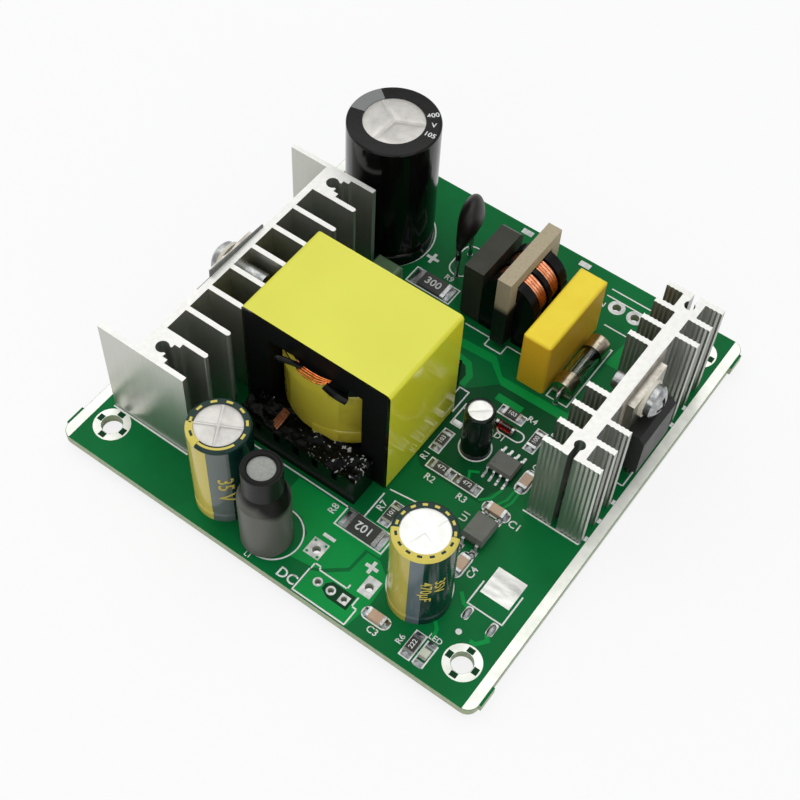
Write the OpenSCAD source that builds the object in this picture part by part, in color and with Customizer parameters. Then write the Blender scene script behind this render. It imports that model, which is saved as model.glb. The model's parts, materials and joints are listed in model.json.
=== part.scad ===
// Open-frame mains power supply module: one circuit board with two extruded heatsinks,
// a taped ferrite transformer, a line filter and its wired and chip parts.
// X runs along the output edge, Y from the output edge towards the mains edge, Z is up.
// The origin is the centre of the four mounting holes, on the board's underside.

/* [Board] */
// Board width along X
board_w = 81; // [80.5:0.5:90]
// Board depth along Y
board_d = 83.5; // [83:0.5:92]
// Board thickness
board_t = 1.6; // [1:0.1:2.4]
// Radius of the board's corners
corner_r = 2; // [0.5:0.5:4]
// Diameter of the mounting holes
mount_d = 3.5; // [2.6:0.1:4.2]
// Distance from a mounting hole's centre to the side edge
mount_inset_x = 5.75; // [4:0.25:6]
// Distance from a mounting hole's centre to the front or back edge
mount_inset_y = 6; // [4:0.25:7]
// Length of the break-off nubs on the side edges
nub_len = 3.6; // [2:0.2:5]
// How far the nubs stand proud of the side edges
nub_out = 0.4; // [0.2:0.1:0.8]

/* [Leads and solder] */
// Diameter of a round lead
lead_d = 0.8; // [0.6:0.1:1]
// Extra diameter of a drilled hole over its lead
drill_gap = 0.2; // [0.1:0.05:0.4]
// Length of lead below the board
lead_stub = 1.5; // [1:0.1:2.5]
// Width of the solder fillet around a lead
fillet_w = 0.5; // [0.3:0.05:0.55]
// Height of the solder fillet
fillet_h = 1; // [0.5:0.1:1]

/* [Output heatsink] */
// Height of the output heatsink
out_h = 21.4; // [20:0.2:26]
// Thickness of its base wall
out_base_t = 1.2; // [0.8:0.1:1.6]
// Length of its fins
out_fin_len = 8.4; // [6:0.2:9]
// Thickness of its fins
out_fin_t = 0.9; // [0.6:0.1:1.4]
// Spacing of its fins
out_pitch = 5.27; // [5:0.01:5.4]
// Length of its end wings beyond the base wall
wing_len = 7.4; // [6:0.2:8]
// Thickness of its end wings
wing_t = 0.9; // [0.6:0.1:1.4]
// Distance from the board's centre line to the base wall's outer face
out_from_centre = 29.6; // [29:0.1:31]
// Distance from the output edge to its middle
out_place = 33.4; // [32.5:0.1:34]
// Depth of the pin bosses beside the end wings
boss_len = 3; // [2.6:0.1:4]

/* [Primary heatsink] */
// Height of the primary heatsink
pri_h = 21; // [20:0.2:26]
// Thickness of its spine
pri_spine_t = 2.4; // [1.6:0.1:2.8]
// Length of its fins
pri_fin_len = 3.8; // [2.6:0.2:4.2]
// Thickness of its fins over the ribs
pri_fin_t = 1.1; // [0.8:0.1:1.4]
// Spacing of its fins
pri_pitch = 4.07; // [3.8:0.01:4.3]
// Depth of the ribs on its fins
rib_depth = 0.12; // [0.05:0.01:0.2]
// Spacing of the ribs on its fins
rib_pitch = 0.76; // [0.5:0.02:1]
// Distance from the output edge to its middle
pri_place = 52.3; // [51:0.1:54]
// Width of the control area between the transformer and its fins
control_w = 20; // [19.5:0.1:21]

/* [Heatsink pins] */
// Diameter of the output heatsink's keyholes and of the pins in them
keyhole_d = 2.2; // [1.6:0.1:2.4]
// Width of the output heatsink's keyhole slots
slot_w = 1.4; // [0.8:0.1:1.5]
// Diameter of the primary heatsink's keyholes and of the pins in them
pri_keyhole_d = 1.8; // [1.6:0.1:2.2]
// Width of the primary heatsink's keyhole slots
pri_slot_w = 1; // [0.7:0.1:1.3]
// Wall beside the primary heatsink's keyholes
keyhole_wall = 1.1; // [0.8:0.1:1.3]
// Diameter of the pins' legs through the board
pin_leg_d = 1.5; // [1:0.1:1.6]
// Length of a pin inside its keyhole
pin_len = 9; // [5:0.5:15]

/* [Tab packages] */
// Width of a power package
pack_w = 10; // [9:0.2:10.4]
// Thickness of a power package
pack_t = 4.5; // [3.6:0.1:4.8]
// Height of its moulded body
pack_body_h = 9.1; // [8:0.1:10]
// Height of its bare tab
pack_tab_h = 6.4; // [5.6:0.1:7]
// Thickness of its tab
pack_tab_t = 1.3; // [1:0.1:1.6]
// Distance from the tab's hole to the tab's top
pack_hole_drop = 2.75; // [2.4:0.05:3]
// Spacing of its leads
pack_pitch = 2.54; // [2.3:0.01:2.8]
// Width of the insulating pad behind it
pad_w = 13; // [11:0.5:15]
// Height of the insulating pad
pad_h = 19; // [17:0.5:20]
// Thickness of the insulating pad
pad_t = 0.3; // [0.2:0.05:0.5]
// Distance from the pad's hole to the pad's top
pad_hole_drop = 4.2; // [3.6:0.1:5]
// How far the output pad is turned about its screw
pad_tilt = 3.5; // [0:0.5:5]
// Height of the output rectifier's screw above the board
rectifier_screw_z = 18; // [17.8:0.1:18.2]
// Height of the primary transistor's screw above the board
transistor_screw_z = 17; // [16.8:0.1:17.4]
// Diameter of the screws
screw_d = 3; // [2.6:0.1:3.2]
// Length of the rectifier's screw under its head
screw_len = 8; // [7:0.5:9]
// Length of the transistor's screw under its head
transistor_screw_len = 6.5; // [5:0.5:8]
// Diameter of the screws' heads
head_d = 5.6; // [5:0.1:6]
// Height of the screws' heads
head_h = 2.2; // [1.6:0.1:2.6]
// Wall of the insulating bushes
bush_wall = 0.3; // [0.2:0.05:0.4]

/* [Transformer] */
// Width of the ferrite core
core_w = 27; // [25:0.5:28]
// Depth of the ferrite core
core_d = 18.8; // [17:0.2:19]
// Height of both core halves together
core_h = 24.75; // [22:0.25:28]
// Thickness of the core's end plates
core_plate_t = 4.3; // [3.5:0.1:5]
// Diameter of the core's centre post
core_post_d = 12; // [10:0.5:13]
// Diameter of the core's winding window
core_window_d = 22.5; // [21:0.5:23]
// Width of the core's winding window at its open front and back
core_opening = 17.8; // [16:0.1:18.4]
// Gap between the core and the board
core_lift = 0.75; // [0.6:0.05:2]
// Thickness of the tape around the core
tape_t = 0.5; // [0.2:0.05:0.6]
// Wall of the bobbin's tube and flanges
bobbin_wall = 1; // [0.7:0.1:1.2]
// Thickness of the bobbin's upper flange with its margin
margin_t = 2.1; // [1.5:0.1:3]
// Gap between the taped winding and the core's window
winding_gap = 0.45; // [0.3:0.05:1]
// Width of the bobbin's pin rails along X
rail_w = 23; // [21.5:0.5:25]
// Depth of the bobbin's pin rails along Y
rail_d = 5; // [4:0.25:5.4]
// Spacing of the bobbin's pins
bobbin_pitch = 3.81; // [3.5:0.01:4]
// Gap from the output heatsink's fins to the tape
transformer_gap = 0.15; // [0.1:0.05:0.6]
// Distance from the output edge to the transformer's middle
transformer_place = 32.45; // [32:0.05:33]

/* [Common-mode choke] */
// Length of the choke's core along Y
choke_len = 15.3; // [14:0.1:16]
// Height of the choke's core
choke_h = 16; // [15:0.2:20]
// Thickness of the choke's core along X
choke_t = 2.6; // [2:0.1:3.2]
// Width of the core's limbs
choke_limb = 2.4; // [1.8:0.1:2.6]
// Gap between the core and the board
choke_lift = 1.5; // [1:0.1:2.5]
// Width of the bobbin's feet along X
choke_w = 10.4; // [9.6:0.1:10.8]
// Gap between the bobbin's flanges and the core's outer limbs
choke_flange_gap = 0.6; // [0.2:0.05:1]
// Thickness of the outer flanges
choke_flange_t = 2; // [1.6:0.1:2.2]
// Thickness of the middle flange
choke_mid_t = 1; // [0.6:0.1:1.4]
// How far the flanges stand out from the windings
choke_flange_rim = 0.3; // [0.1:0.05:0.8]
// Diameter of the winding wire
choke_wire_d = 0.6; // [0.4:0.05:0.8]

/* [Bridge rectifier] */
// Thickness of the bridge rectifier
bridge_t = 3.8; // [2.8:0.1:4]
// Width of the bridge rectifier along Y
bridge_w = 12.2; // [11:0.2:14]
// Height of its body
bridge_h = 12.4; // [10:0.2:13.4]
// Gap between its body and the board
bridge_lift = 0.6; // [0.4:0.1:3]
// Spacing of its leads
bridge_pitch = 3.3; // [2.8:0.1:3.6]
// Place of the mains row along X, at the bridge rectifier's centre
mains_x = -0.95; // [-1.6:0.05:-0.8]
// Gap from the bridge rectifier to the choke
choke_gap = 0.1; // [0.1:0.1:1]

/* [Mains capacitor and fuse] */
// Width of the mains capacitor along X
line_cap_w = 5.4; // [4.8:0.1:5.8]
// Length of the mains capacitor along Y
line_cap_len = 17.8; // [16.5:0.1:18.5]
// Height of the mains capacitor
line_cap_h = 12.6; // [10:0.2:15]
// Radius of its edges
line_cap_r = 0.6; // [0.2:0.1:1]
// Spacing of its leads
line_cap_pitch = 15; // [12.5:0.5:15.5]
// Gap from the choke to the mains capacitor
line_cap_gap = 1.15; // [0.4:0.05:1.5]
// Length of the fuse over its caps
fuse_len = 12.5; // [10:0.1:13]
// Diameter of the fuse's glass
fuse_glass_d = 3.6; // [3:0.1:4]
// Wall of the fuse's caps
fuse_cap_wall = 0.25; // [0.15:0.05:0.4]
// Length of the fuse's caps
fuse_cap_len = 3; // [2:0.1:4]
// Radius of the bend in the fuse's leads
fuse_bend_r = 0.9; // [0.7:0.1:1.2]
// Gap from the mains capacitor to the fuse
fuse_gap = 0.6; // [0.3:0.1:1]

/* [Electrolytic capacitors] */
// Diameter of the bulk capacitor
bulk_d = 16; // [14:0.5:17]
// Height of the bulk capacitor
bulk_h = 28; // [20:0.5:35]
// Width of its sleeve's fold over the rim
bulk_fold = 2.7; // [1.5:0.1:4]
// Distance from the output heatsink's base wall to the bulk capacitor's axis
bulk_place = 6.3; // [6:0.1:8]
// Gap from the output heatsink's wing to the bulk capacitor
bulk_gap = 1.25; // [0.5:0.05:2]
// Diameter of the output capacitors
smooth_d = 10; // [8:0.25:10.4]
// Height of the output capacitors
smooth_h = 20; // [12:0.5:25]
// Width of their sleeves' fold over the rim
smooth_fold = 1.2; // [0.9:0.05:2]
// Diameter of the bias capacitor
bias_d = 5; // [4:0.1:5.2]
// Height of the bias capacitor
bias_h = 11; // [7:0.5:12]
// Width of its sleeve's fold over the rim
bias_fold = 0.5; // [0.45:0.05:1]
// Radius of the cans' upper rims
can_rim = 0.45; // [0.3:0.05:0.45]
// Thickness of the printed sleeves
sleeve_t = 0.15; // [0.1:0.05:0.25]

/* [Output inductor] */
// Diameter of the inductor's rod core
drum_d = 5.7; // [5:0.1:6.4]
// Height of the inductor's rod core
drum_h = 19.9; // [17:0.1:22]
// Thickness of the core's foot
drum_flange_t = 1.2; // [0.8:0.1:2]
// Outer diameter of the winding on the core
drum_coil_d = 7.6; // [6.8:0.1:8]
// Height at which the winding starts to run out
drum_coil_h = 12.4; // [9:0.1:14]
// Height over which the winding runs out
drum_slope_h = 2.8; // [1.5:0.1:3]
// Wall of the shrink sleeve
shrink_t = 0.35; // [0.2:0.05:0.5]
// Gap from the output capacitor to the inductor
drum_gap = 0.65; // [0.3:0.05:1]

/* [Thermistor and film capacitor] */
// Diameter of the thermistor disc
disc_d = 9.4; // [7:0.1:10]
// Thickness of the thermistor disc
disc_t = 3.3; // [3:0.1:4.4]
// Height of the disc's centre above the board
disc_z = 10.8; // [9:0.1:13]
// Spacing of the thermistor's leads
disc_pitch = 5.6; // [4:0.1:6]
// Turn of the disc about Z
disc_turn = 99; // [90:1:120]
// Lean of the disc from upright
disc_lean = 11; // [0:1:14]
// Width of the film capacitor
film_w = 5.4; // [4.6:0.1:6]
// Thickness of the film capacitor
film_t = 3.2; // [2.4:0.1:3.6]
// Height of the film capacitor
film_h = 7.2; // [5:0.1:9]

/* [Chip parts] */
// Length of a small chip
chip_len = 3.2; // [2.8:0.05:3.4]
// Width of a small chip
chip_w = 1.6; // [1.2:0.05:1.7]
// Height of a small resistor chip
chip_h = 0.55; // [0.4:0.05:0.7]
// Height of a small capacitor chip
chip_cap_h = 0.9; // [0.6:0.05:1.2]
// Length of a small chip's end caps
chip_end = 0.5; // [0.3:0.05:0.7]
// Length of a large resistor chip
big_chip_len = 6.35; // [5.8:0.05:6.8]
// Width of a large resistor chip
big_chip_w = 3.2; // [2.8:0.05:3.5]
// Height of a large resistor chip
big_chip_h = 0.6; // [0.4:0.05:0.8]
// Length of a large chip's end caps
big_chip_end = 0.75; // [0.5:0.05:1]
// Length of the glass diode
glass_len = 3.5; // [3:0.1:3.8]
// Diameter of the glass diode's end caps
glass_d = 1.5; // [1.2:0.05:1.7]
// Length of the glass diode's end caps
glass_end = 0.45; // [0.3:0.05:0.6]

/* [Integrated circuits] */
// Length of the controller's body along its pin rows
ic_len = 4.7; // [4.5:0.1:5.2]
// Width of the controller's body
ic_w = 3.7; // [3.4:0.1:4.1]
// Height of the controller's body
ic_h = 1.45; // [1.2:0.05:1.7]
// Spacing of the controller's leads
ic_pitch = 1.27; // [1:0.01:1.3]
// Length of the optocoupler's body across its pin rows
opto_w = 4.9; // [4:0.1:5]
// Width of the optocoupler's body along its pin rows
opto_len = 4; // [3.4:0.1:4.3]
// Height of the optocoupler's body
opto_h = 2.4; // [1.8:0.1:2.6]
// Spacing of the optocoupler's leads
opto_pitch = 2.54; // [2.2:0.01:2.6]
// Gap between an IC's body and the board
ic_lift = 0.15; // [0.1:0.05:0.3]
// Thickness of a formed IC lead
foot_t = 0.2; // [0.15:0.05:0.3]
// Reach of a formed IC lead from the body
foot_reach = 1.15; // [0.9:0.05:1.3]

/* [Hidden] */
$fn = 48;
cut = 0.2;
top = board_t;
half_w = board_w / 2;
half_d = board_d / 2;
front_y = -half_d;
mount_x = half_w - mount_inset_x;
mount_y = half_d - mount_inset_y;

// Output heatsink: outer face of the base wall, roots and tips of the fins, first and last wing
out_cells = 9;
out_y = front_y + out_place;
out_face_x = -out_from_centre;
out_root_x = out_face_x + out_base_t;
out_tip_x = out_root_x + out_fin_len;
out_first_y = out_y - out_cells * out_pitch / 2;
out_last_y = out_y + out_cells * out_pitch / 2;
boss_ear_len = 1;
boss_ear_w = 0.8;
out_keyhole_x = out_root_x + boss_len - keyhole_d / 2 - cut / 2;

// Row across the board: the transformer beside the output heatsink's fins, then the control area
transformer_x = out_tip_x + transformer_gap + tape_t + core_w / 2;
transformer_right = transformer_x + core_w / 2 + tape_t;

// Primary heatsink: spine's centre line and first fin
pri_cells = 9;
pri_left_fins = 4;
pri_right_fins = 3;
pri_x = transformer_right + control_w + pri_fin_len + pri_spine_t / 2;
pri_y = front_y + pri_place;
pri_first_y = pri_y - pri_cells * pri_pitch / 2;
pri_last_y = pri_y + pri_cells * pri_pitch / 2;
pri_boss_w = pri_keyhole_d + 2 * keyhole_wall;
pri_keyhole_inset = pri_pitch / 2;

// Tab packages, measured from the back of the tab
pack_lead_x = 2.5;
pack_lead_w = 0.8;
pack_lead_t = 0.5;
pack_shoulder_w = 1.3;
pack_shoulder_stop = 1.6;
pack_lead_bite = 1.5;
pack_lip = 0.6;
pack_bevel = 1;
pack_lead_diag = sqrt(pow(pack_lead_w, 2) + pow(pack_lead_t, 2));
bush_d = screw_d + 2 * bush_wall;
bush_flange_d = head_d + 0.8;
bush_flange_t = 0.6;
rectifier_back_x = out_face_x - pad_t;
transistor_back_x = pri_x + pri_spine_t / 2 + pad_t;
rectifier_lead_x = rectifier_back_x - pack_lead_x;
transistor_lead_x = transistor_back_x + pack_lead_x;
recess_w = 0.8;
recess_len = 3.2;
recess_depth = 1.1;

// Transformer
transformer_y = front_y + transformer_place;
core_z = top + core_lift;
core_half_h = core_h / 2;
core_clear = 0.2;
window_z = core_z + core_plate_t;
window_h = core_h - 2 * core_plate_t;
bobbin_tube_d = core_post_d + 2 * core_clear + 2 * bobbin_wall;
bobbin_flange_d = core_window_d - 2 * core_clear;
winding_d = core_window_d - 2 * winding_gap;
rail_h = window_z - top + bobbin_wall;
rail_gap = 0.3;
rail_y = core_d / 2 + rail_gap + rail_d / 2;
rail_arm_w = 11;
bobbin_pins = 6;

// Mains row: bridge rectifier, choke, mains capacitor and fuse side by side along X
bridge_x = mains_x;
bridge_y = front_y + 65.65;
choke_window_h = (choke_h - 3 * choke_limb) / 2;
choke_flange_d = choke_limb + 2 * choke_window_h - 2 * choke_flange_gap;
choke_coil_d = choke_flange_d - 2 * choke_flange_rim;
choke_over_w = max(choke_w, choke_flange_d);
choke_x = bridge_x + bridge_t / 2 + choke_gap + choke_over_w / 2;
choke_y = front_y + 64.7;
choke_z = top + choke_lift;
choke_axis_z = choke_z + choke_h / 2;
choke_clear = 0.15;
choke_window_len = choke_len - 2 * choke_limb;
choke_tube_d = sqrt(pow(choke_t, 2) + pow(choke_limb, 2)) + 4 * choke_clear;
choke_flange_y = choke_window_len / 2 - choke_clear - choke_flange_t / 2;
choke_coil_len = choke_flange_y - choke_flange_t / 2 - choke_mid_t / 2;
choke_turns = floor(choke_coil_len / choke_wire_d + 0.01);
choke_foot_x = choke_w / 2 - lead_d;
line_cap_x = choke_x + choke_over_w / 2 + line_cap_gap + line_cap_w / 2;
line_cap_y = front_y + 62.65;
fuse_cap_d = fuse_glass_d + 2 * fuse_cap_wall;
fuse_x = line_cap_x + line_cap_w / 2 + fuse_gap + fuse_cap_d / 2;
fuse_y = front_y + 61.25;
fuse_z = top + fuse_cap_d / 2;
fuse_bore_d = fuse_glass_d - 0.8;
fuse_element_d = 0.3;
fuse_lead_out = 0.3;
fuse_pitch = fuse_len + 2 * (fuse_lead_out + fuse_bend_r);

// Capacitors
bulk_x = out_face_x + bulk_place;
bulk_y = out_last_y + wing_t / 2 + bulk_gap + bulk_d / 2;
bulk_pitch = 7.5;
smooth_a = [out_face_x + 18.1, front_y + 7.25];
smooth_b = control(14.95, 11.25);
smooth_pitch = 5;
bias_at = control(6.8, 38.35);
bias_pitch = 2;
film_at = [transformer_x - 10, front_y + 55.55];
film_pitch = 3.5;
film_r = 0.9;

// Output inductor, beside the first output capacitor
drum_r = drum_coil_d / 2 + shrink_t;
drum_at = [smooth_a.x + smooth_d / 2 + drum_gap + drum_r, front_y + 5.2];
drum_lip_w = 0.35;
drum_pitch = 4.4;
shrink_lift = 0.6;

// Thermistor
disc_at = [-8.4, front_y + 68.75];
disc_edge_r = disc_t / 2;

// Control parts: places from the transformer's right face and the output edge
function control(dx, dy) = [transformer_right + dx, front_y + dy];
ic_at = control(12.75, 37.9);
opto_at = control(16.35, 25.45);
ic_foot_w = 0.42;
opto_foot_w = 0.5;
ic_draft = 0.25;
foot_shoulder = 0.45;
dimple_d = 0.6;
dimple_depth = 0.08;

// Chips as [place, turn]
small_resistors = [
    [control(1.75, 36.1), 90],
    [control(4.8, 31.6), 0],
    [control(9.8, 31.6), 0],
    [control(8.15, 47.25), 0],
    [control(14.05, 45.25), 90],
    [control(19.1, 3.85), 90],
    [control(3.3, 19.75), 90]
];
big_resistors = [
    [control(1.65, 15.1), 0],
    [control(-18.15, 61.65), 0]
];
chip_capacitors = [
    [control(16.3, 30.35), 0],
    [control(17.05, 37.8), 90],
    [control(12.1, 4.1), 0],
    [control(17.15, 19.25), 90]
];
led_at = control(21.45, 3.7);
led_len = 2;
led_w = 1.25;
led_base_h = 0.35;
led_h = 0.8;
led_end = 0.4;
glass_at = control(8.75, 44.2);

// Leads through the board as [x, y, diameter]
function lead_row(at, count, pitch, turn, d) = [
    for (i = [0 : count - 1])
        let (s = (i - (count - 1) / 2) * pitch)
            [at.x + s * cos(turn), at.y + s * sin(turn), d]
];
bulk_leads = lead_row([bulk_x, bulk_y], 2, bulk_pitch, 90, lead_d);
smooth_a_leads = lead_row(smooth_a, 2, smooth_pitch, 90, lead_d);
smooth_b_leads = lead_row(smooth_b, 2, smooth_pitch, 0, lead_d);
bias_leads = lead_row(bias_at, 2, bias_pitch, 0, lead_d * 0.75);
film_leads = lead_row(film_at, 2, film_pitch, 0, lead_d * 0.75);
can_leads = concat(bulk_leads, smooth_a_leads, smooth_b_leads, bias_leads, film_leads);
drum_leads = lead_row(drum_at, 2, drum_pitch, 90, lead_d);
disc_leads = lead_row(disc_at, 2, disc_pitch, disc_turn, lead_d);
line_cap_leads = lead_row([line_cap_x, line_cap_y], 2, line_cap_pitch, 90, lead_d);
bridge_leads_at = lead_row([bridge_x, bridge_y], 4, bridge_pitch, 90, lead_d);
fuse_leads = lead_row([fuse_x, fuse_y], 2, fuse_pitch, 90, lead_d);
choke_pins_at = [
    for (sx = [-1, 1], sy = [-1, 1])
        [choke_x + sx * choke_foot_x, choke_y + sy * choke_flange_y, lead_d]
];
bobbin_pins_at = concat(
    lead_row([transformer_x, transformer_y - rail_y], bobbin_pins, bobbin_pitch, 0, lead_d),
    lead_row([transformer_x, transformer_y + rail_y], bobbin_pins, bobbin_pitch, 0, lead_d)
);
rectifier_leads = lead_row([rectifier_lead_x, out_y], 3, pack_pitch, 90, pack_lead_diag);
transistor_leads = lead_row([transistor_lead_x, pri_y], 3, pack_pitch, 90, pack_lead_diag);
keyholes = [
    [out_keyhole_x, out_first_y + out_pitch / 2, pin_leg_d, keyhole_d],
    [out_keyhole_x, out_last_y - out_pitch / 2, pin_leg_d, keyhole_d],
    [pri_x, pri_first_y + pri_keyhole_inset, pin_leg_d, pri_keyhole_d],
    [pri_x, pri_last_y - pri_keyhole_inset, pin_leg_d, pri_keyhole_d]
];
soldered = concat(
    can_leads, drum_leads, disc_leads, line_cap_leads, bridge_leads_at, fuse_leads, choke_pins_at,
    bobbin_pins_at, rectifier_leads, transistor_leads, keyholes
);

// Holes left open: two output wire pads, a three-way header and two mains pads
wire_hole_d = 1.4;
header_hole_d = 1;
mains_hole_d = 1.6;
output_pads = concat(
    lead_row(control(-2.2, 7.9), 1, 0, 0, wire_hole_d),
    lead_row(control(8.2, 7.6), 1, 0, 0, wire_hole_d)
);
header_pitch = 2.5;
header_holes = lead_row(control(3.85, 3.65), 3, header_pitch, 0, header_hole_d);
mains_pad_pitch = 3.7;
mains_pads = lead_row(control(12.15, board_d - 6.3), 2, mains_pad_pitch, 0, mains_hole_d);
open_holes = concat(output_pads, header_holes, mains_pads);

// Shared shapes
module rounded_plate(w, d, r) {
    square([w - 2 * r, d], center = true);
    square([w, d - 2 * r], center = true);
    for (sx = [-1, 1], sy = [-1, 1])
        translate([sx * (w / 2 - r), sy * (d / 2 - r)])
            circle(r);
}

// A block with all its upper and side edges rounded, standing on z = 0
module soft_block(w, d, h, r) {
    intersection() {
        linear_extrude(h)
            rounded_plate(w, d, r);
        translate([0, 0, h / 2 - r])
            rotate([90, 0, 0])
                linear_extrude(d, center = true)
                    rounded_plate(w, h + 2 * r, r);
        translate([0, 0, h / 2 - r])
            rotate([90, 0, 90])
                linear_extrude(w, center = true)
                    rounded_plate(d, h + 2 * r, r);
    }
}

// Round leads from the stub end up to a height
module round_leads(leads, z) {
    for (p = leads)
        translate([p.x, p.y, -lead_stub])
            cylinder(d = p[2], h = z + lead_stub);
}

// Board and solder
module circuit_board() {
    nub_y = half_d - corner_r - nub_len / 2;
    color("darkgreen")
        difference() {
            linear_extrude(board_t) {
                rounded_plate(board_w, board_d, corner_r);
                for (sy = [-1, 1])
                    translate([0, sy * nub_y])
                        square([board_w + 2 * nub_out, nub_len], center = true);
            }
            for (sx = [-1, 1], sy = [-1, 1])
                translate([sx * mount_x, sy * mount_y, -cut])
                    cylinder(d = mount_d, h = board_t + 2 * cut);
            for (p = soldered)
                translate([p.x, p.y, -cut])
                    cylinder(d = p[2] + drill_gap, h = board_t + 2 * cut);
            for (p = open_holes)
                translate([p.x, p.y, -cut])
                    cylinder(d = p[2], h = board_t + 2 * cut);
        }
}

// Each joint fills its drilled hole and forms a fillet round the lead on the underside
module solder_joint(d) {
    hole_r = (d + drill_gap) / 2;
    rotate_extrude()
        polygon([
            [d / 2, board_t],
            [hole_r, board_t],
            [hole_r, 0],
            [d / 2 + fillet_w, 0],
            [d / 2 + fillet_w / 3, -fillet_h * 0.55],
            [d / 2, -fillet_h]
        ]);
}

module solder_joints() {
    color("silver")
        for (p = soldered)
            translate([p.x, p.y, 0])
                solder_joint(p[2]);
}

// Heatsinks
module plain_fin(len) {
    translate([0, -out_fin_t / 2])
        square([len - out_fin_t / 2, out_fin_t]);
    translate([len - out_fin_t / 2, 0])
        circle(out_fin_t / 2);
}

// End boss of the output heatsink: a filled cell with two ears beside the keyhole's slot
module pin_boss(y) {
    cell = out_pitch;
    translate([out_face_x, y - cell / 2])
        square([out_base_t + boss_len, cell]);
    for (s = [-1, 1])
        translate([out_face_x, y + s * (cell / 2 - out_fin_t / 2 - boss_ear_w / 2) - boss_ear_w / 2])
            square([out_base_t + boss_len + boss_ear_len, boss_ear_w]);
}

module output_profile() {
    difference() {
        union() {
            translate([out_face_x, out_first_y])
                square([out_base_t, out_last_y - out_first_y]);
            for (i = [1 : out_cells - 1])
                translate([out_face_x, out_first_y + i * out_pitch])
                    plain_fin(out_base_t + out_fin_len);
            for (y = [out_first_y, out_last_y])
                translate([out_face_x - wing_len, y - wing_t / 2])
                    square([wing_len + out_base_t + out_fin_len, wing_t]);
            for (i = [0, 1])
                pin_boss(keyholes[i].y);
        }
        for (i = [0, 1])
            translate([keyholes[i].x, keyholes[i].y]) {
                circle(d = keyhole_d);
                translate([0, -slot_w / 2])
                    square([boss_len + boss_ear_len, slot_w]);
            }
    }
}

module output_heatsink() {
    color("gainsboro")
        difference() {
            translate([0, 0, top])
                linear_extrude(out_h)
                    output_profile();
            translate([out_face_x - cut, out_y, top + rectifier_screw_z])
                rotate([0, 90, 0])
                    cylinder(d = screw_d, h = out_base_t + 2 * cut);
        }
}

// A fin with a saw-tooth rib along each face, from the spine's centre line to the tip
module ribbed_fin(len) {
    ribs = floor(pri_fin_len / rib_pitch);
    start = len - ribs * rib_pitch;
    face = [
        for (i = [0 : ribs - 1], k = [0, 1])
            [start + (i + k / 2) * rib_pitch, pri_fin_t / 2 - k * rib_depth]
    ];
    other = [for (i = [len(face) - 1 : -1 : 0]) [face[i].x, -face[i].y]];
    polygon(concat([[0, pri_fin_t / 2]], face, [[len, pri_fin_t / 2], [len, -pri_fin_t / 2]],
        other, [[0, -pri_fin_t / 2]]));
}

module primary_profile() {
    fin_reach = pri_spine_t / 2 + pri_fin_len;
    difference() {
        union() {
            translate([pri_x - pri_spine_t / 2, pri_first_y - pri_fin_t / 2])
                square([pri_spine_t, pri_last_y - pri_first_y + pri_fin_t]);
            for (i = [0 : pri_cells])
                translate([pri_x, pri_first_y + i * pri_pitch]) {
                    if (i < pri_left_fins || i > pri_cells - pri_left_fins)
                        mirror([1, 0])
                            ribbed_fin(fin_reach);
                    if (i < pri_right_fins || i > pri_cells - pri_right_fins)
                        ribbed_fin(fin_reach);
                }
            for (i = [2, 3])
                translate([keyholes[i].x - pri_boss_w / 2, keyholes[i].y - pri_pitch / 2])
                    square([pri_boss_w, pri_pitch]);
        }
        for (i = [2, 3])
            translate([keyholes[i].x, keyholes[i].y]) {
                circle(d = pri_keyhole_d);
                translate([-pri_slot_w / 2, i == 2 ? -pri_pitch : 0])
                    square([pri_slot_w, pri_pitch]);
            }
    }
}

module primary_heatsink() {
    color("gainsboro")
        difference() {
            translate([0, 0, top])
                linear_extrude(pri_h)
                    primary_profile();
            translate([pri_x - pri_spine_t / 2 - cut, pri_y, top + transistor_screw_z])
                rotate([0, 90, 0])
                    cylinder(d = screw_d, h = pri_spine_t + 2 * cut);
        }
}

module heatsink_pins() {
    color("silver")
        for (p = keyholes) {
            translate([p.x, p.y, -lead_stub])
                cylinder(d = pin_leg_d, h = top + lead_stub + cut);
            translate([p.x, p.y, top])
                cylinder(d = p[3], h = pin_len);
        }
}

// Tab packages: the back of the tab is at x = 0, the package faces +X, z = 0 is the board's top
module at_rectifier() {
    translate([rectifier_back_x, out_y, top])
        rotate([0, 0, 180])
            children();
}

module at_transistor() {
    translate([transistor_back_x, pri_y, top])
        children();
}

module pack_leadframe(screw_z) {
    tab_top = screw_z + pack_hole_drop;
    body_top = tab_top - pack_tab_h;
    body_bottom = body_top - pack_body_h;
    difference() {
        translate([0, -pack_w / 2, body_bottom + pack_lip])
            cube([pack_tab_t, pack_w, tab_top - body_bottom - pack_lip]);
        translate([-cut, 0, screw_z])
            rotate([0, 90, 0])
                cylinder(d = bush_d, h = pack_tab_t + 2 * cut);
    }
    for (i = [-1, 0, 1])
        translate([pack_lead_x - pack_lead_t / 2, i * pack_pitch, 0]) {
            translate([0, -pack_shoulder_w / 2, pack_shoulder_stop])
                cube([pack_lead_t, pack_shoulder_w, body_bottom + pack_lead_bite - pack_shoulder_stop]);
            translate([0, -pack_lead_w / 2, -board_t - lead_stub])
                cube([pack_lead_t, pack_lead_w, body_bottom + board_t + lead_stub]);
        }
}

module pack_body(screw_z) {
    body_top = screw_z + pack_hole_drop - pack_tab_h;
    body_bottom = body_top - pack_body_h;
    difference() {
        rotate([90, 0, 0])
            linear_extrude(pack_w, center = true)
                polygon([
                    [0, body_bottom],
                    [pack_t, body_bottom],
                    [pack_t, body_top - pack_bevel],
                    [pack_t - pack_bevel, body_top],
                    [0, body_top]
                ]);
        pack_leadframe(screw_z);
    }
}

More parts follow.
